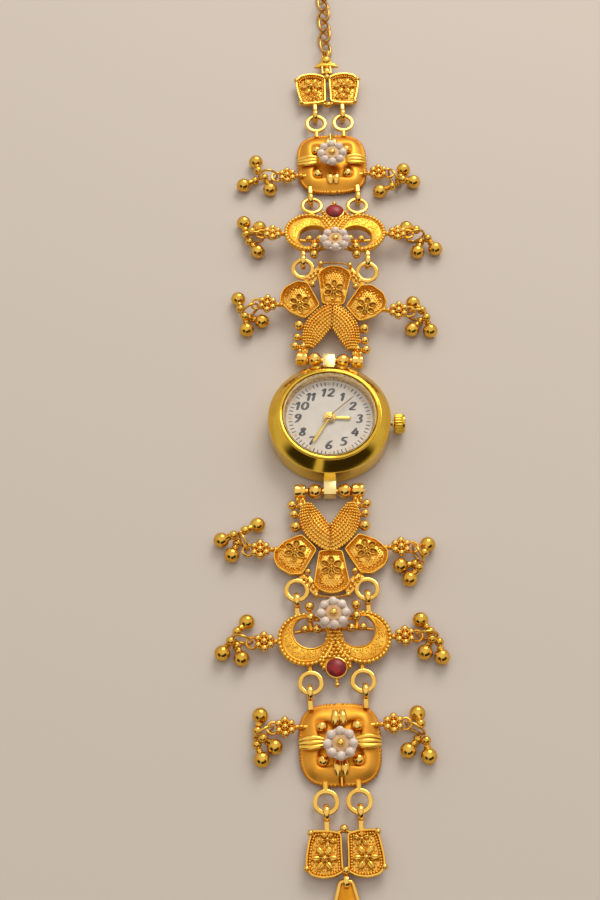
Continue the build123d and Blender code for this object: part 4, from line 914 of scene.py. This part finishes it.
def bell_bunch_dress(name):
    """A jump ring and three bells: each a bead, a neck and a ball with a small pip. The ring stands
    on the table and passes through the side loop, and each bell hangs from its own place on the
    ring and lies with its ball on the table."""
    joint = JOINTS[name + "_swing"]
    loop = np.asarray(joint["pos_m"], float) / MM
    ring_turn, bells = BELL_BUNCHES[name]
    ring_r, wire, ball_r, hang = 1.95, 0.46, chosen("bell"), 4.2
    centre_z = ring_r + wire / 2
    reach = math.sqrt(ring_r ** 2 - (centre_z - loop[2]) ** 2)
    base = (turn_z(ring_turn), np.array([loop[0], loop[1], 0.0]))
    shell = Shells()
    a = np.linspace(0, 2 * np.pi, 40, endpoint=False)
    ring = np.stack([reach + ring_r * np.cos(a), 0 * a, centre_z + ring_r * np.sin(a)], -1)
    shell.add(swept(ring, rounded_loop(0.52, 0.52, 10), up=(0, 1, 0)), wrap=True, place=base)
    # turned profile as (radius, place along the bell from its ring)
    b = np.linspace(-np.pi / 2 * 0.72, np.pi / 2 * 0.9, 12)
    ball = np.stack([ball_r * np.cos(b), hang + ball_r * np.sin(b)], -1)
    b = np.linspace(-0.42 * np.pi, 0.36 * np.pi, 7)
    bead = np.stack([0.92 * np.cos(b), 1.4 + 0.86 * np.sin(b)], -1)
    pip = [(0.22, hang + ball_r * 0.985), (0.2, hang + ball_r + 0.1), (0.05, hang + ball_r + 0.14)]
    profile = np.concatenate([[(0.24, 0.3)], bead, [(0.66, 2.3), (0.68, 2.6)], ball, pip])
    for place, heading in bells:
        a = math.radians(place)
        hold = np.array([reach + ring_r * math.cos(a), 0, centre_z + ring_r * math.sin(a)])
        drop = hold[2] - ball_r
        slope = math.degrees(math.atan2(drop, math.sqrt(hang ** 2 - drop ** 2)))
        along = turn_z(heading - ring_turn) @ turn_y(slope) @ turn_y(90)
        shell.add(lathed(profile, 28), place=joined(base, (along, hold)))
    shell.piece(name + "_polished", name, "antique_gilt", "gold_antique", hides=(name,), crisp=50)


def chain_dress():
    """The extender chain: oval wire rings rolled 45 degrees to one side and the other in turn, and the
    bail before them. A ring's wire runs along half_w |cos|^0.8 by half_l |sin|^0.8."""
    tail = hinge_place("bail_swing")
    length, width, wire, play = 4.55, 3.9, 0.66, 0.2
    ball_at, ball_r, ball_loop = 3.3, 1.2, 1.4
    pitch = length - 2 * wire - play
    first = ball_at + ball_r + ball_loop + length / 2 - wire - play
    a = np.linspace(0, 2 * np.pi, 40, endpoint=False)
    c, s = np.cos(a), np.sin(a)
    half_w, half_l = (width - wire) / 2, (length - wire) / 2
    oval = np.stack([half_w * np.sign(c) * np.abs(c) ** 0.8, half_l * np.sign(s) * np.abs(s) ** 0.8, 0 * a], -1)
    for number in range(CHAIN_RINGS):
        shell = Shells()
        roll = 45 if number % 2 == 0 else -45
        shell.add(swept(oval, rounded_loop(wire, wire, 10)), wrap=True,
                  place=joined(tail, (turn_y(roll), (0, first + number * pitch, 0))))
        shell.piece("extender_ring_%d" % (number + 1), "ring_%d" % (number + 1), "chain_gilt", "gold_antique",
                    hides=("chain_ring_%d" % (number + 1),), crisp=60)
    bail = Shells()
    # flared cap: an oval that narrows from 5.5 wide to 2.4 while it runs to the ball, and three
    # low swells on its way
    share = np.linspace(0, 1, 12)[:, None]
    wide = 5.5 - 3.1 * share ** 1.3
    thick = 0.85 + 0.35 * np.sin(np.pi * share) - 0.12 * np.cos(share * np.pi * 6)
    oval = rounded_loop(1.0, 1.0, 32, 2.6)
    bail.add(np.stack([wide * oval[:, 0], 1.62 + 1.5 * share + 0 * oval[:, 0], thick * oval[:, 1]], -1), place=tail)
    bail.add(balls([(0, ball_at + 0.05, 0)], ball_r, 14, 24), place=tail)
    bail.add(hoop(END_LOOP_RADIUS, 28, (0, 0, 0), 0.54, 0.62, 8), wrap=True,
             place=joined(tail, (turn_y(-45), (0, 5.2, 0))))
    for side in (1, -1):
        bail.add(rod([(0.9 * side, 0, 0), (0.9 * side, 1.8, 0)], 4, 0.4, 0.85, 8, 3), place=tail)
    bail.add(rod([(-1.1, 0, 0), (1.1, 0, 0)], 5, 0.8, 0.8, 12), place=tail)
    bail.piece("flared_bail", "bail", "cast_gilt", "gold_polished", hides=("chain_bail",), crisp=50)


def hook_dress():
    """The hook: a three-sided wire frame on the end plate's loop, a thin web inside it, and the
    shank beyond, which turns back in a half circle and thins at its tip."""
    place = hinge_place("hook_swing", HOOK_PITCH)
    shank_from, bend_at, bend_r, tip_at, wire = 4.6, 11.1, 1.7, 8.1, 0.9
    outline = eased(spaced([(-1.05, 0), (1.05, 0), (2.3, 4.55), (-2.3, 4.55)], 72), 4)
    web = Shells()
    web.add(prism(inset(outline, 0.2), -0.22, 0.05, 0.05), place=place)
    web.piece("hook_web", "hook", "recess_gilt", "gold_satin")
    bend = np.linspace(0, np.pi, 16)
    arc = np.stack([bend_r - bend_r * np.cos(bend), bend_at + bend_r * np.sin(bend)], -1)
    path = np.concatenate([spaced([(0, shank_from), (0, bend_at)], 10, closed=False)[:-1], arc,
                           spaced([(2 * bend_r, bend_at), (2 * bend_r, tip_at)], 6, closed=False)[1:]])
    size = np.concatenate([np.ones(len(path) - 4), [0.95, 0.85, 0.7, 0.4]])
    shell = Shells()
    shell.add(swept(lifted(outline, 0), rounded_loop(0.82, 0.88, 12, 2.4)), wrap=True, place=place)
    shell.add(swept(lifted(path, 0), rounded_loop(wire, wire, 12), closed=False, scale=size), place=place)
    shell.piece("wire_hook", "hook", "buffed_gilt", "gold_polished", hides=("clasp_hook",), crisp=50)


# The case's turned pieces: CAD node, finish, steps round, sharp-edge angle, profile as (radius, height)
CASE_TURNED = {
    "drum_wall": ("case_middle", "wall_gilt", 192, 20,
                  [(9.6, 0.72), (11.85, 0.72), (12.0, 0.9), (12.0, 4.88), (11.93, 4.98), (9.6, 5.0)]),
    "cone_bezel": ("bezel", "lapped_case", 192, 24,
                   [(9.55, 5.0), (11.98, 5.0), (12.0, 5.06), (11.97, 5.12), (10.1, 6.66), (10.04, 6.67), (10.0, 6.45),
                    (9.95, 6.45), (9.93, 6.72), (9.84, 6.84), (9.62, 6.9), (9.4, 6.84), (9.3, 6.72), (9.2, 6.6),
                    (9.2, 6.14), (9.55, 6.14)]),
    "sloping_rehaut": ("rehaut_ring", "pale_rehaut", 144, 35,
                       [(8.47, 4.61), (9.4, 4.61), (9.4, 6.08), (8.86, 6.08), (8.8, 6.0)]),
}


def case_dress():
    """The case: a drum wall, a cone-shaped bezel with a bright land and the sloping ring inside it,
    all turned profiles."""
    for title, (hidden, finish, steps, crisp, profile) in CASE_TURNED.items():
        shell = Shells()
        shell.add(lathed(profile, steps), wrap=True)
        shell.piece(title, "case", finish, "gold_polished", hides=(hidden,), crisp=crisp)


def strap_dress():
    """The two straps: a flat tongue that runs out over the cross pin and turns square down. Its side
    view is drawn towards its middle a little at the two edges, which rounds them."""
    # side view as (distance from the watch's middle, height)
    view = np.array([(11.85, 2.0), (11.85, 3.35), (13.0, 3.42), (14.5, 3.44), (15.3, 3.38), (15.68, 3.2), (15.84, 2.8),
                     (15.86, 1.6), (15.75, 1.1), (15.4, 0.95), (14.2, 0.95), (13.5, 1.2), (13.1, 1.65), (12.6, 1.8)])
    across = np.array([-1.2, -1.16, -1.05, 1.05, 1.16, 1.2])
    pull = np.array([0.93, 0.97, 1.0, 1.0, 0.97, 0.93])
    middle = view.mean(0)
    rows = np.maximum(middle + (view - middle) * pull[:, None, None], np.array([11.8, 0]))
    rows = np.concatenate([np.broadcast_to(across[:, None, None], rows.shape[:2] + (1,)), rows], -1)
    for half, turn in (("upper", 0), ("lower", 180)):
        shell = Shells()
        shell.add(rows @ turn_z(turn).T)
        shell.piece(half + "_lug_strap", "case", "strap_gilt", "gold_polished", hides=(half + "_strap",), crisp=30)


def pin_bead_dress():
    """The cross pins, plain turned rods, and the loose beads on them: balls with a bored and slightly
    dished hole."""
    b = np.linspace(-np.pi / 2 + 0.4, np.pi / 2 - 0.4, 20)
    bead = np.concatenate([np.stack([1.5 * np.cos(b), 1.5 * np.sin(b)], -1), [(0.56, 1.2), (0.56, -1.2)]])
    pin = [(0.02, -6.72), (0.42, -6.7), (0.5, -6.62), (0.5, 6.62), (0.42, 6.7), (0.02, 6.72)]
    for half, way in (("upper", 1), ("lower", -1)):
        joint = JOINTS[half + "_beads_turn"]
        axis = np.asarray(joint["axis"], float)
        matrix = np.stack([np.cross([0, 0, 1], axis), [0, 0, 1], axis], 1)
        middle = np.asarray(joint["pos_m"], float) / MM
        shell = Shells()
        for side in (1, -1):
            shell.add(lathed(bead, 40), wrap=True, place=(matrix, middle + axis * LOOSE_BEAD_AT * side))
        shell.piece(half + "_bored_beads", half + "_beads", "buffed_gilt", "gold_polished",
                    hides=(half + "_pin_beads",), crisp=50)
        shell = Shells()
        shell.add(lathed(pin, 28) @ turn_y(90).T + np.array([0, PIN_AT * way, PIN_Z]))
        shell.piece(half + "_plain_pin", "case", "buffed_gilt", "gold_polished", hides=(half + "_cross_pin",),
                    crisp=40)


def crown_dress():
    """The crown: a drum with twenty flutes, radius r - 0.2 (1 - |cos 10 a|^0.6), and a stepped
    smooth cap, on the stem's line 2.6 above the table."""
    a = np.linspace(0, 2 * np.pi, 320, endpoint=False)
    flute = 0.2 * (np.abs(np.cos(10 * a)) ** 0.6 - 1)
    # rows of (radius, place along the stem, share of the flutes' depth)
    rows = np.array([(0.72, -0.26, 0), (0.75, -0.05, 0), (1.5, 0.0, 0), (1.82, 0.08, 0.6), (1.98, 0.25, 1),
                     (1.98, 1.45, 1), (1.86, 1.62, 0.7), (1.82, 1.7, 0), (1.86, 1.8, 0), (1.8, 2.05, 0),
                     (1.45, 2.2, 0), (0.7, 2.24, 0), (0.05, 2.25, 0)])
    radius = rows[:, :1] + rows[:, 2:] * flute
    shell = Shells()
    shell.add(np.stack([radius * np.cos(a), radius * np.sin(a), rows[:, 1:2] + 0 * a], -1),
              place=(turn_y(90), (12.7, 0, 2.6)))
    shell.piece("fluted_crown", "winder", "lapped_case", "gold_polished", hides=("crown",), crisp=35)


# Each digit's strokes as the points that the brush passes, in shares of its height
DIGITS = {
    "0": [[(0.30, 0.98), (0.08, 0.80), (0.02, 0.50), (0.08, 0.18), (0.30, 0.02), (0.52, 0.18), (0.60, 0.50),
           (0.54, 0.80), (0.32, 0.98)]],
    "1": [[(0.02, 0.72), (0.20, 0.84), (0.32, 1.0), (0.30, 0.55), (0.26, 0.0)]],
    "2": [[(0.04, 0.72), (0.12, 0.92), (0.34, 1.0), (0.54, 0.88), (0.54, 0.66), (0.34, 0.36), (0.02, 0.06),
           (0.24, 0.12), (0.44, 0.03), (0.66, 0.10)]],
    "3": [[(0.06, 0.86), (0.26, 1.0), (0.50, 0.92), (0.50, 0.68), (0.26, 0.54), (0.54, 0.42), (0.56, 0.16),
           (0.30, 0.0), (0.04, 0.12)]],
    "4": [[(0.36, 1.0), (0.18, 0.66), (0.0, 0.34), (0.30, 0.33), (0.64, 0.36)],
          [(0.46, 0.72), (0.44, 0.36), (0.40, 0.0)]],
    "5": [[(0.60, 0.98), (0.36, 0.95), (0.16, 0.96), (0.10, 0.58), (0.36, 0.62), (0.54, 0.46), (0.52, 0.16),
           (0.28, 0.0), (0.02, 0.10)]],
    "6": [[(0.52, 1.0), (0.26, 0.82), (0.06, 0.46), (0.08, 0.14), (0.30, 0.0), (0.52, 0.12), (0.54, 0.38),
           (0.34, 0.52), (0.10, 0.34)]],
    "7": [[(0.04, 0.84), (0.10, 0.96), (0.36, 0.90), (0.62, 0.98), (0.40, 0.56), (0.22, 0.0)]],
    "8": [[(0.32, 0.54), (0.10, 0.70), (0.12, 0.92), (0.34, 1.0), (0.52, 0.90), (0.48, 0.68), (0.30, 0.54),
           (0.06, 0.36), (0.04, 0.12), (0.28, 0.0), (0.54, 0.12), (0.56, 0.36), (0.34, 0.54)]],
    "9": [[(0.54, 0.66), (0.36, 0.50), (0.14, 0.56), (0.06, 0.78), (0.20, 0.97), (0.44, 0.98), (0.56, 0.80),
           (0.50, 0.40), (0.28, 0.04), (0.12, 0.0)]],
}


def brush_stroke(points, height, where, lean=0.2):
    """A numeral's stroke as a flat ribbon: a smooth line through the points, widened by 1.16 and
    leaning to the right as brushwork does, with a flat section whose width follows the heading."""
    pts = eased(spaced(points, 40, closed=False), 12, closed=False)
    pts = np.stack([1.16 * pts[:, 0] + lean * (pts[:, 1] - 0.5), pts[:, 1]], -1) * height + np.asarray(where)
    heading = np.gradient(pts, axis=0)
    heading /= np.linalg.norm(heading, axis=1, keepdims=True)
    side = np.stack([heading[:, 1], -heading[:, 0]], -1)
    t = np.linspace(0, 1, len(pts))
    # a brush held at a slant: strokes that run down are wide, strokes across are finer
    wide = height * (0.085 + 0.065 * np.abs(heading[:, 1])) * (0.6 + 0.4 * np.clip(np.sin(np.pi * t) * 3, 0, 1))
    left, right = pts - side * wide[:, None], pts + side * wide[:, None]
    flat = np.stack([left, right, right, left], 1)
    high = np.array([PRINT_LOW, PRINT_LOW, NUMERAL_TOP, NUMERAL_TOP])
    return np.concatenate([flat, np.broadcast_to(high[None, :, None], flat.shape[:2] + (1,))], -1)


# The middle of each hour's numeral, across and up from the dial's middle
NUMERALS = {12: (-0.36, 5.72), 1: (2.58, 4.72), 2: (4.58, 2.68), 3: (5.84, -0.12), 4: (5.02, -3.1),
            5: (2.74, -5.12), 6: (-0.12, -5.9), 7: (-3.5, -4.95), 8: (-5.25, -3.02), 9: (-6.25, -0.02),
            10: (-5.5, 2.72), 11: (-3.62, 4.74)}


def dial_print():
    """Hour numerals in brush script, sixty minute marks and small gilt squares at the hours. A mark is
    a flat block about a point on a circle, half its length along the radius and half its width
    square to it."""
    ink, gilt = Shells(), Shells()
    height = chosen("numeral")
    for hour, (x, y) in NUMERALS.items():
        word = str(hour)
        # step from one digit to the next and the whole width, in shares of the height
        step = 0.78 if word != "11" else 0.52
        span = step * (len(word) - 1) + 0.7
        for i, digit in enumerate(word):
            left = x - span * height / 2 + (i * step + (0.06 if digit == "1" else 0)) * height
            for stroke in DIGITS[digit]:
                ink.add(brush_stroke(stroke, height, (left, y - height / 2)))
    minutes = np.arange(60)
    corner = np.array([(-1, -1), (1, -1), (1, 1), (-1, 1)])
    for shell, marked, radius, half_length, half_width in ((gilt, minutes % 5 == 0, 7.68, 0.33, 0.3),
                                                           (ink, minutes % 5 > 0, 7.66, 0.4, 0.1)):
        a = np.radians(90 - minutes[marked] * 6)
        out = np.stack([np.cos(a), np.sin(a)], -1)[:, None]
        side = out[..., ::-1] * np.array([-1, 1])
        flat = out * (radius + corner[:, :1] * half_length) + side * corner[:, 1:] * half_width
        shell.add(np.stack([np.concatenate([flat, np.full(flat.shape[:2] + (1,), z)], -1)
                            for z in (PRINT_LOW, MARK_TOP)], 1))
    ink.piece("dial_numerals", "case", "numeral_ink", "dial_paint", crisp=30)
    gilt.piece("dial_hour_squares", "case", "gold_ink", "dial_paint", crisp=30)


# Each hand: body, heading in degrees, length, width, tail, radius of its post, height, radius of its hub
HANDS = {
    "hour": ("hours", -2.0, 4.25, 0.66, 0.0, 0.75, 4.9, 1.22),
    "minute": ("minutes", 239.7, 6.55, 0.62, 0.0, 0.46, 5.2, 0.95),
    "second": ("seconds", 42.8, 6.6, 0.2, 2.1, 0.18, 5.5, 0.62),
}


def hands_dress():
    """The three gilt hands: ridged batons on stepped hubs, and a thin seconds hand. A baton's section
    is a low roof: flat below, two edges 0.06 high and a ridge 0.15 high. Its width grows a little
    from the hub and runs to a point at the tip."""
    t = np.linspace(0, 1, 20)
    taper = np.clip(np.minimum((1 - t) * 9 + 0.25, 1), 0, 1) * (0.72 + 0.28 * np.clip(t * 1.4, 0, 1))
    for kind, (body, angle, length, width, tail, post, low, hub) in HANDS.items():
        across = (width / 2 * taper)[:, None] * np.array([-1, 1, 1, 0, -1])
        along = (-tail + (length + tail) * t)[:, None] + 0 * across
        up = low + np.array([0, 0, 0.06, 0.15, 0.06]) + 0 * across
        shell = Shells()
        shell.add(np.stack([along, across, up], -1), place=(turn_z(angle), (0, 0, 0)))
        shell.add(lathed([(post, low), (hub, low), (hub + 0.02, low + 0.05), (hub - 0.08, low + 0.15),
                          (post + 0.1, low + 0.17), (post, low + 0.14)], 40), wrap=True)
        if kind == "second":
            shell.add(lathed([(0.03, low), (0.4, low), (0.42, low + 0.1), (0.3, low + 0.24), (0.03, low + 0.27)], 32))
        shell.piece(kind + "_baton", body, "hand_gilt", "gold_polished", hides=(kind + "_hand",), crisp=25)


# Finishes of the CAD nodes that show as they are
CAD_FINISHES = {
    "buffed_gilt": ("case_back",),
    "glass": ("crystal",),
    "dial_lacquer": ("dial",),
    "turned_steel": ("stem", "setting_lever", "battery_cell"),
    "stamped_brass": ("movement_plate", "hour_wheel", "centre_wheel", "seconds_wheel"),
    "coil_copper": ("drive_coil",),
    "seal_rubber": ("back_gasket",),
    # The glass seal's gold colour is a painted reflection of the gilding round it
    "seal_nylon": ("crystal_gasket",),
}


def finish_cad_nodes():
    """Gives each CAD node that still shows its real finish."""
    for finish, names in CAD_FINISHES.items():
        for name in names:
            mesh = frame["nodes"][name].data
            mesh.materials.clear()
            mesh.materials.append(FINISH[finish])


def room(tones):
    """A soft room that is bright above. Before the watch it has a dim patch that gives the gold its
    dark mirror, with one bright gap left of its middle."""
    world = bpy.data.worlds.new("soft_room")
    bpy.context.scene.world = world
    world.use_nodes = True
    tree = world.node_tree
    tree.nodes.clear()
    where = node(tree, "ShaderNodeTexCoord")
    parts = node(tree, "ShaderNodeSeparateXYZ", links={0: (where, "Generated")})
    rise = node(tree, "ShaderNodeValToRGB", links={"Fac": (parts, "Z")})
    ramp = rise.color_ramp.elements
    ramp[0].position, ramp[0].color = ROOM_TONES[0]
    ramp[1].position, ramp[1].color = ROOM_TONES[-1]
    for height, tone in ROOM_TONES[1:-1]:
        ramp.new(height).color = tone
    ahead = node(tree, "ShaderNodeMath", {"operation": "MULTIPLY", 1: -1.0}, {0: (parts, "Y")})
    heading = node(tree, "ShaderNodeMath", {"operation": "ARCTAN2"}, {0: (parts, "X"), 1: (ahead, 0)})
    spread = node(tree, "ShaderNodeMath", {"operation": "ABSOLUTE"}, {0: (heading, 0)})
    off_gap = node(tree, "ShaderNodeMath", {"operation": "ADD", 1: math.radians(GAP_HEADING)}, {0: (heading, 0)})
    beside = node(tree, "ShaderNodeMath", {"operation": "ABSOLUTE"}, {0: (off_gap, 0)})
    patch = None
    for source, output, (start, end) in ((spread, 0, PATCH_SPREAD), (parts, "Z", PATCH_LOW), (parts, "Z", PATCH_HIGH),
                                         (beside, 0, GAP_FADE)):
        share = node(tree, "ShaderNodeMapRange",
                     {"interpolation_type": "SMOOTHSTEP", "From Min": start, "From Max": end},
                     {"Value": (source, output)})
        patch = share if patch is None else node(tree, "ShaderNodeMath", {"operation": "MULTIPLY"},
                                                 {0: (patch, 0), 1: (share, 0)})
    shade = node(tree, "ShaderNodeMix", {"data_type": "RGBA"})
    # sockets of a colour mix: 0 its factor, 6 and 7 its two colours, output 2 its colour
    tree.links.new(patch.outputs[0], shade.inputs[0])
    tree.links.new(rise.outputs[0], shade.inputs[6])
    shade.inputs[7].default_value = PATCH_TONE
    glow = node(tree, "ShaderNodeBackground", {"Strength": tones.room}, {"Color": (shade, 2)})
    node(tree, "ShaderNodeOutputWorld", links={0: (glow, 0)})


def studio(tones):
    """A pale floor, a soft room, a square lamp behind the watch to the right, and the camera."""
    scene = bpy.context.scene
    size = FLOOR_HALF
    ground = bpy.data.meshes.new("studio_floor")
    ground.from_pydata([(-size, -size, 0), (size, -size, 0), (size, size, 0), (-size, size, 0)], [], [(0, 1, 2, 3)])
    ground.materials.append(FINISH["paper"])
    floor = bpy.data.objects.new("studio_floor", ground)
    scene.collection.objects.link(floor)
    room(tones)
    lamp = bpy.data.lights.new("window_softbox", "AREA")
    lamp.shape = "SQUARE"
    lamp.size = LAMP_SIZE
    lamp.energy = LAMP_POWER * tones.lamp
    lamp.color = (1.0, 0.985, 0.96)
    holder = bpy.data.objects.new("window_softbox", lamp)
    scene.collection.objects.link(holder)
    holder.location = LAMP_AT
    x, y, z = LAMP_AT
    holder.rotation_euler = (math.acos(z / math.hypot(x, y, z)), 0, math.atan2(y, x) + math.pi / 2)
    lens = bpy.data.cameras.new("view")
    lens.sensor_fit = "VERTICAL"
    lens.sensor_height = FRAME_HEIGHT
    lens.lens = FOCAL_LENGTH
    lens.clip_start, lens.clip_end = 0.01, 20
    eye = bpy.data.objects.new("view", lens)
    scene.collection.objects.link(eye)
    eye.location = [at * MM for at in EYE_AT]
    eye.rotation_euler = (math.radians(EYE_TILT), 0, 0)
    scene.camera = eye
    scene.view_settings.view_transform = "Standard"


# Settings and buttons


class WatchSizes(bpy.types.PropertyGroup):
    """Sizes of the watch that can be changed without moving a link."""

    granule: bpy.props.FloatProperty(name="Granules", description="Radius of a granule on the fans' leaves",
                                     default=0.28 * MM, min=0.1 * MM, max=0.35 * MM, precision=5, unit="LENGTH")
    pearl: bpy.props.FloatProperty(name="Pearls", description="Radius of a pearl",
                                   default=0.84 * MM, min=0.5 * MM, max=0.9 * MM, precision=5, unit="LENGTH")
    bell: bpy.props.FloatProperty(name="Bells", description="Radius of a bell's ball",
                                  default=1.5 * MM, min=1.0 * MM, max=1.6 * MM, precision=5, unit="LENGTH")
    joining_ring: bpy.props.FloatProperty(name="Joining rings", description="Mean radius of the rings between links",
                                          default=1.97 * MM, min=1.8 * MM, max=2.1 * MM, precision=5, unit="LENGTH")
    numeral: bpy.props.FloatProperty(name="Numerals", description="Height of the hour numerals",
                                     default=1.82 * MM, min=1.0 * MM, max=2.0 * MM, precision=5, unit="LENGTH")


class WatchTones(bpy.types.PropertyGroup):
    """Colours and light of the watch."""

    polished: bpy.props.StringProperty(name="Polished", description="Buffed gilding, sRGB hex", default="#F6C766")
    case: bpy.props.StringProperty(name="Case", description="Case gilding, sRGB hex", default="#EDC145")
    cast: bpy.props.StringProperty(name="Castings", description="Cast gilding, sRGB hex", default="#FAC95A")
    satin: bpy.props.StringProperty(name="Satin", description="Satin gilding, sRGB hex", default="#E7A33C")
    bells: bpy.props.StringProperty(name="Bells", description="Bell gilding, sRGB hex", default="#EDBC4F")
    dial: bpy.props.StringProperty(name="Dial", description="Dial lacquer, sRGB hex", default="#D0C5B6")
    pearl: bpy.props.StringProperty(name="Pearl", description="Pearl coat, sRGB hex", default="#EEDDCB")
    stone: bpy.props.StringProperty(name="Stone", description="Red stone, sRGB hex", default="#A00A0E")
    paper: bpy.props.StringProperty(name="Floor", description="Floor, sRGB hex", default="#CEC1B4")
    room: bpy.props.FloatProperty(name="Room light", description="Strength of the room", default=0.85, min=0,
                                  subtype="FACTOR")
    lamp: bpy.props.FloatProperty(name="Lamp light", description="Strength of the lamp", default=1.0, min=0,
                                  subtype="FACTOR")


class WATCH_OT_finishes(bpy.types.Operator):
    """Make every finish and put it on the CAD nodes that show"""

    bl_idname = "watch.finishes"
    bl_label = "Finishes"

    def execute(self, context):
        make_finishes(context.scene.watch_tones)
        finish_cad_nodes()
        return {"FINISHED"}


class WATCH_OT_case(bpy.types.Operator):
    """Build case, bezel, rehaut, straps, cross pins, loose beads and crown"""

    bl_idname = "watch.case"
    bl_label = "Case and Crown"

    def execute(self, context):
        case_dress()
        strap_dress()
        pin_bead_dress()
        crown_dress()
        return {"FINISHED"}


class WATCH_OT_dial(bpy.types.Operator):
    """Print the dial and build the hands"""

    bl_idname = "watch.dial"
    bl_label = "Dial and Hands"

    def execute(self, context):
        dial_print()
        hands_dress()
        return {"FINISHED"}


class WATCH_OT_fans(bpy.types.Operator):
    """Build both fan links"""

    bl_idname = "watch.fans"
    bl_label = "Fan Links"

    def execute(self, context):
        fan_link_dress("upper_fan")
        fan_link_dress("lower_fan")
        return {"FINISHED"}


class WATCH_OT_crescents(bpy.types.Operator):
    """Build both crescent links with their pearls and stones"""

    bl_idname = "watch.crescents"
    bl_label = "Crescent Links"

    def execute(self, context):
        crescent_link_dress("upper_crescent")
        crescent_link_dress("lower_crescent")
        return {"FINISHED"}


class WATCH_OT_squares(bpy.types.Operator):
    """Build both square links with their pearls"""

    bl_idname = "watch.squares"
    bl_label = "Square Links"

    def execute(self, context):
        square_link_dress("upper_square")
        square_link_dress("lower_square")
        return {"FINISHED"}


class WATCH_OT_ends(bpy.types.Operator):
    """Build both end plates, the hook, the bail and the chain"""

    bl_idname = "watch.ends"
    bl_label = "Ends"

    def execute(self, context):
        end_plate_dress("upper_end")
        end_plate_dress("lower_end")
        hook_dress()
        chain_dress()
        return {"FINISHED"}


class WATCH_OT_bells(bpy.types.Operator):
    """Build the twelve bunches of bells"""

    bl_idname = "watch.bells"
    bl_label = "Bells"

    def execute(self, context):
        for name in BELL_BUNCHES:
            bell_bunch_dress(name)
        return {"FINISHED"}


class WATCH_OT_stage(bpy.types.Operator):
    """Build floor, lights and camera"""

    bl_idname = "watch.stage"
    bl_label = "Stage"

    def execute(self, context):
        studio(context.scene.watch_tones)
        return {"FINISHED"}


class WATCH_PT_panel(bpy.types.Panel):
    """Lists the settings and the build steps"""

    bl_idname = "WATCH_PT_panel"
    bl_label = "Bracelet Watch"
    bl_space_type = "VIEW_3D"
    bl_region_type = "UI"
    bl_category = "Watch"

    def draw(self, context):
        for name in ("granule", "pearl", "bell", "joining_ring", "numeral"):
            self.layout.prop(context.scene.watch_sizes, name)
        for name in ("polished", "case", "cast", "satin", "bells", "dial", "pearl", "stone", "paper", "room", "lamp"):
            self.layout.prop(context.scene.watch_tones, name)
        for step in STEPS:
            self.layout.operator(step)


STEPS = ("watch.finishes", "watch.case", "watch.dial", "watch.fans", "watch.crescents", "watch.squares", "watch.ends",
         "watch.bells", "watch.stage")
CLASSES = (WatchSizes, WatchTones, WATCH_OT_finishes, WATCH_OT_case, WATCH_OT_dial, WATCH_OT_fans,
           WATCH_OT_crescents, WATCH_OT_squares, WATCH_OT_ends, WATCH_OT_bells, WATCH_OT_stage, WATCH_PT_panel)


def register():
    """Registers the classes and hangs the settings on the scene."""
    for item in CLASSES:
        bpy.utils.register_class(item)
    bpy.types.Scene.watch_sizes = bpy.props.PointerProperty(type=WatchSizes)
    bpy.types.Scene.watch_tones = bpy.props.PointerProperty(type=WatchTones)


def unregister():
    """Takes the settings and the classes away again."""
    del bpy.types.Scene.watch_tones
    del bpy.types.Scene.watch_sizes
    for item in reversed(CLASSES):
        bpy.utils.unregister_class(item)


def main():
    """Runs every step in order."""
    register()
    for step in STEPS:
        group, name = step.split(".")
        getattr(getattr(bpy.ops, group), name)()


if __name__ == "__main__":
    main()
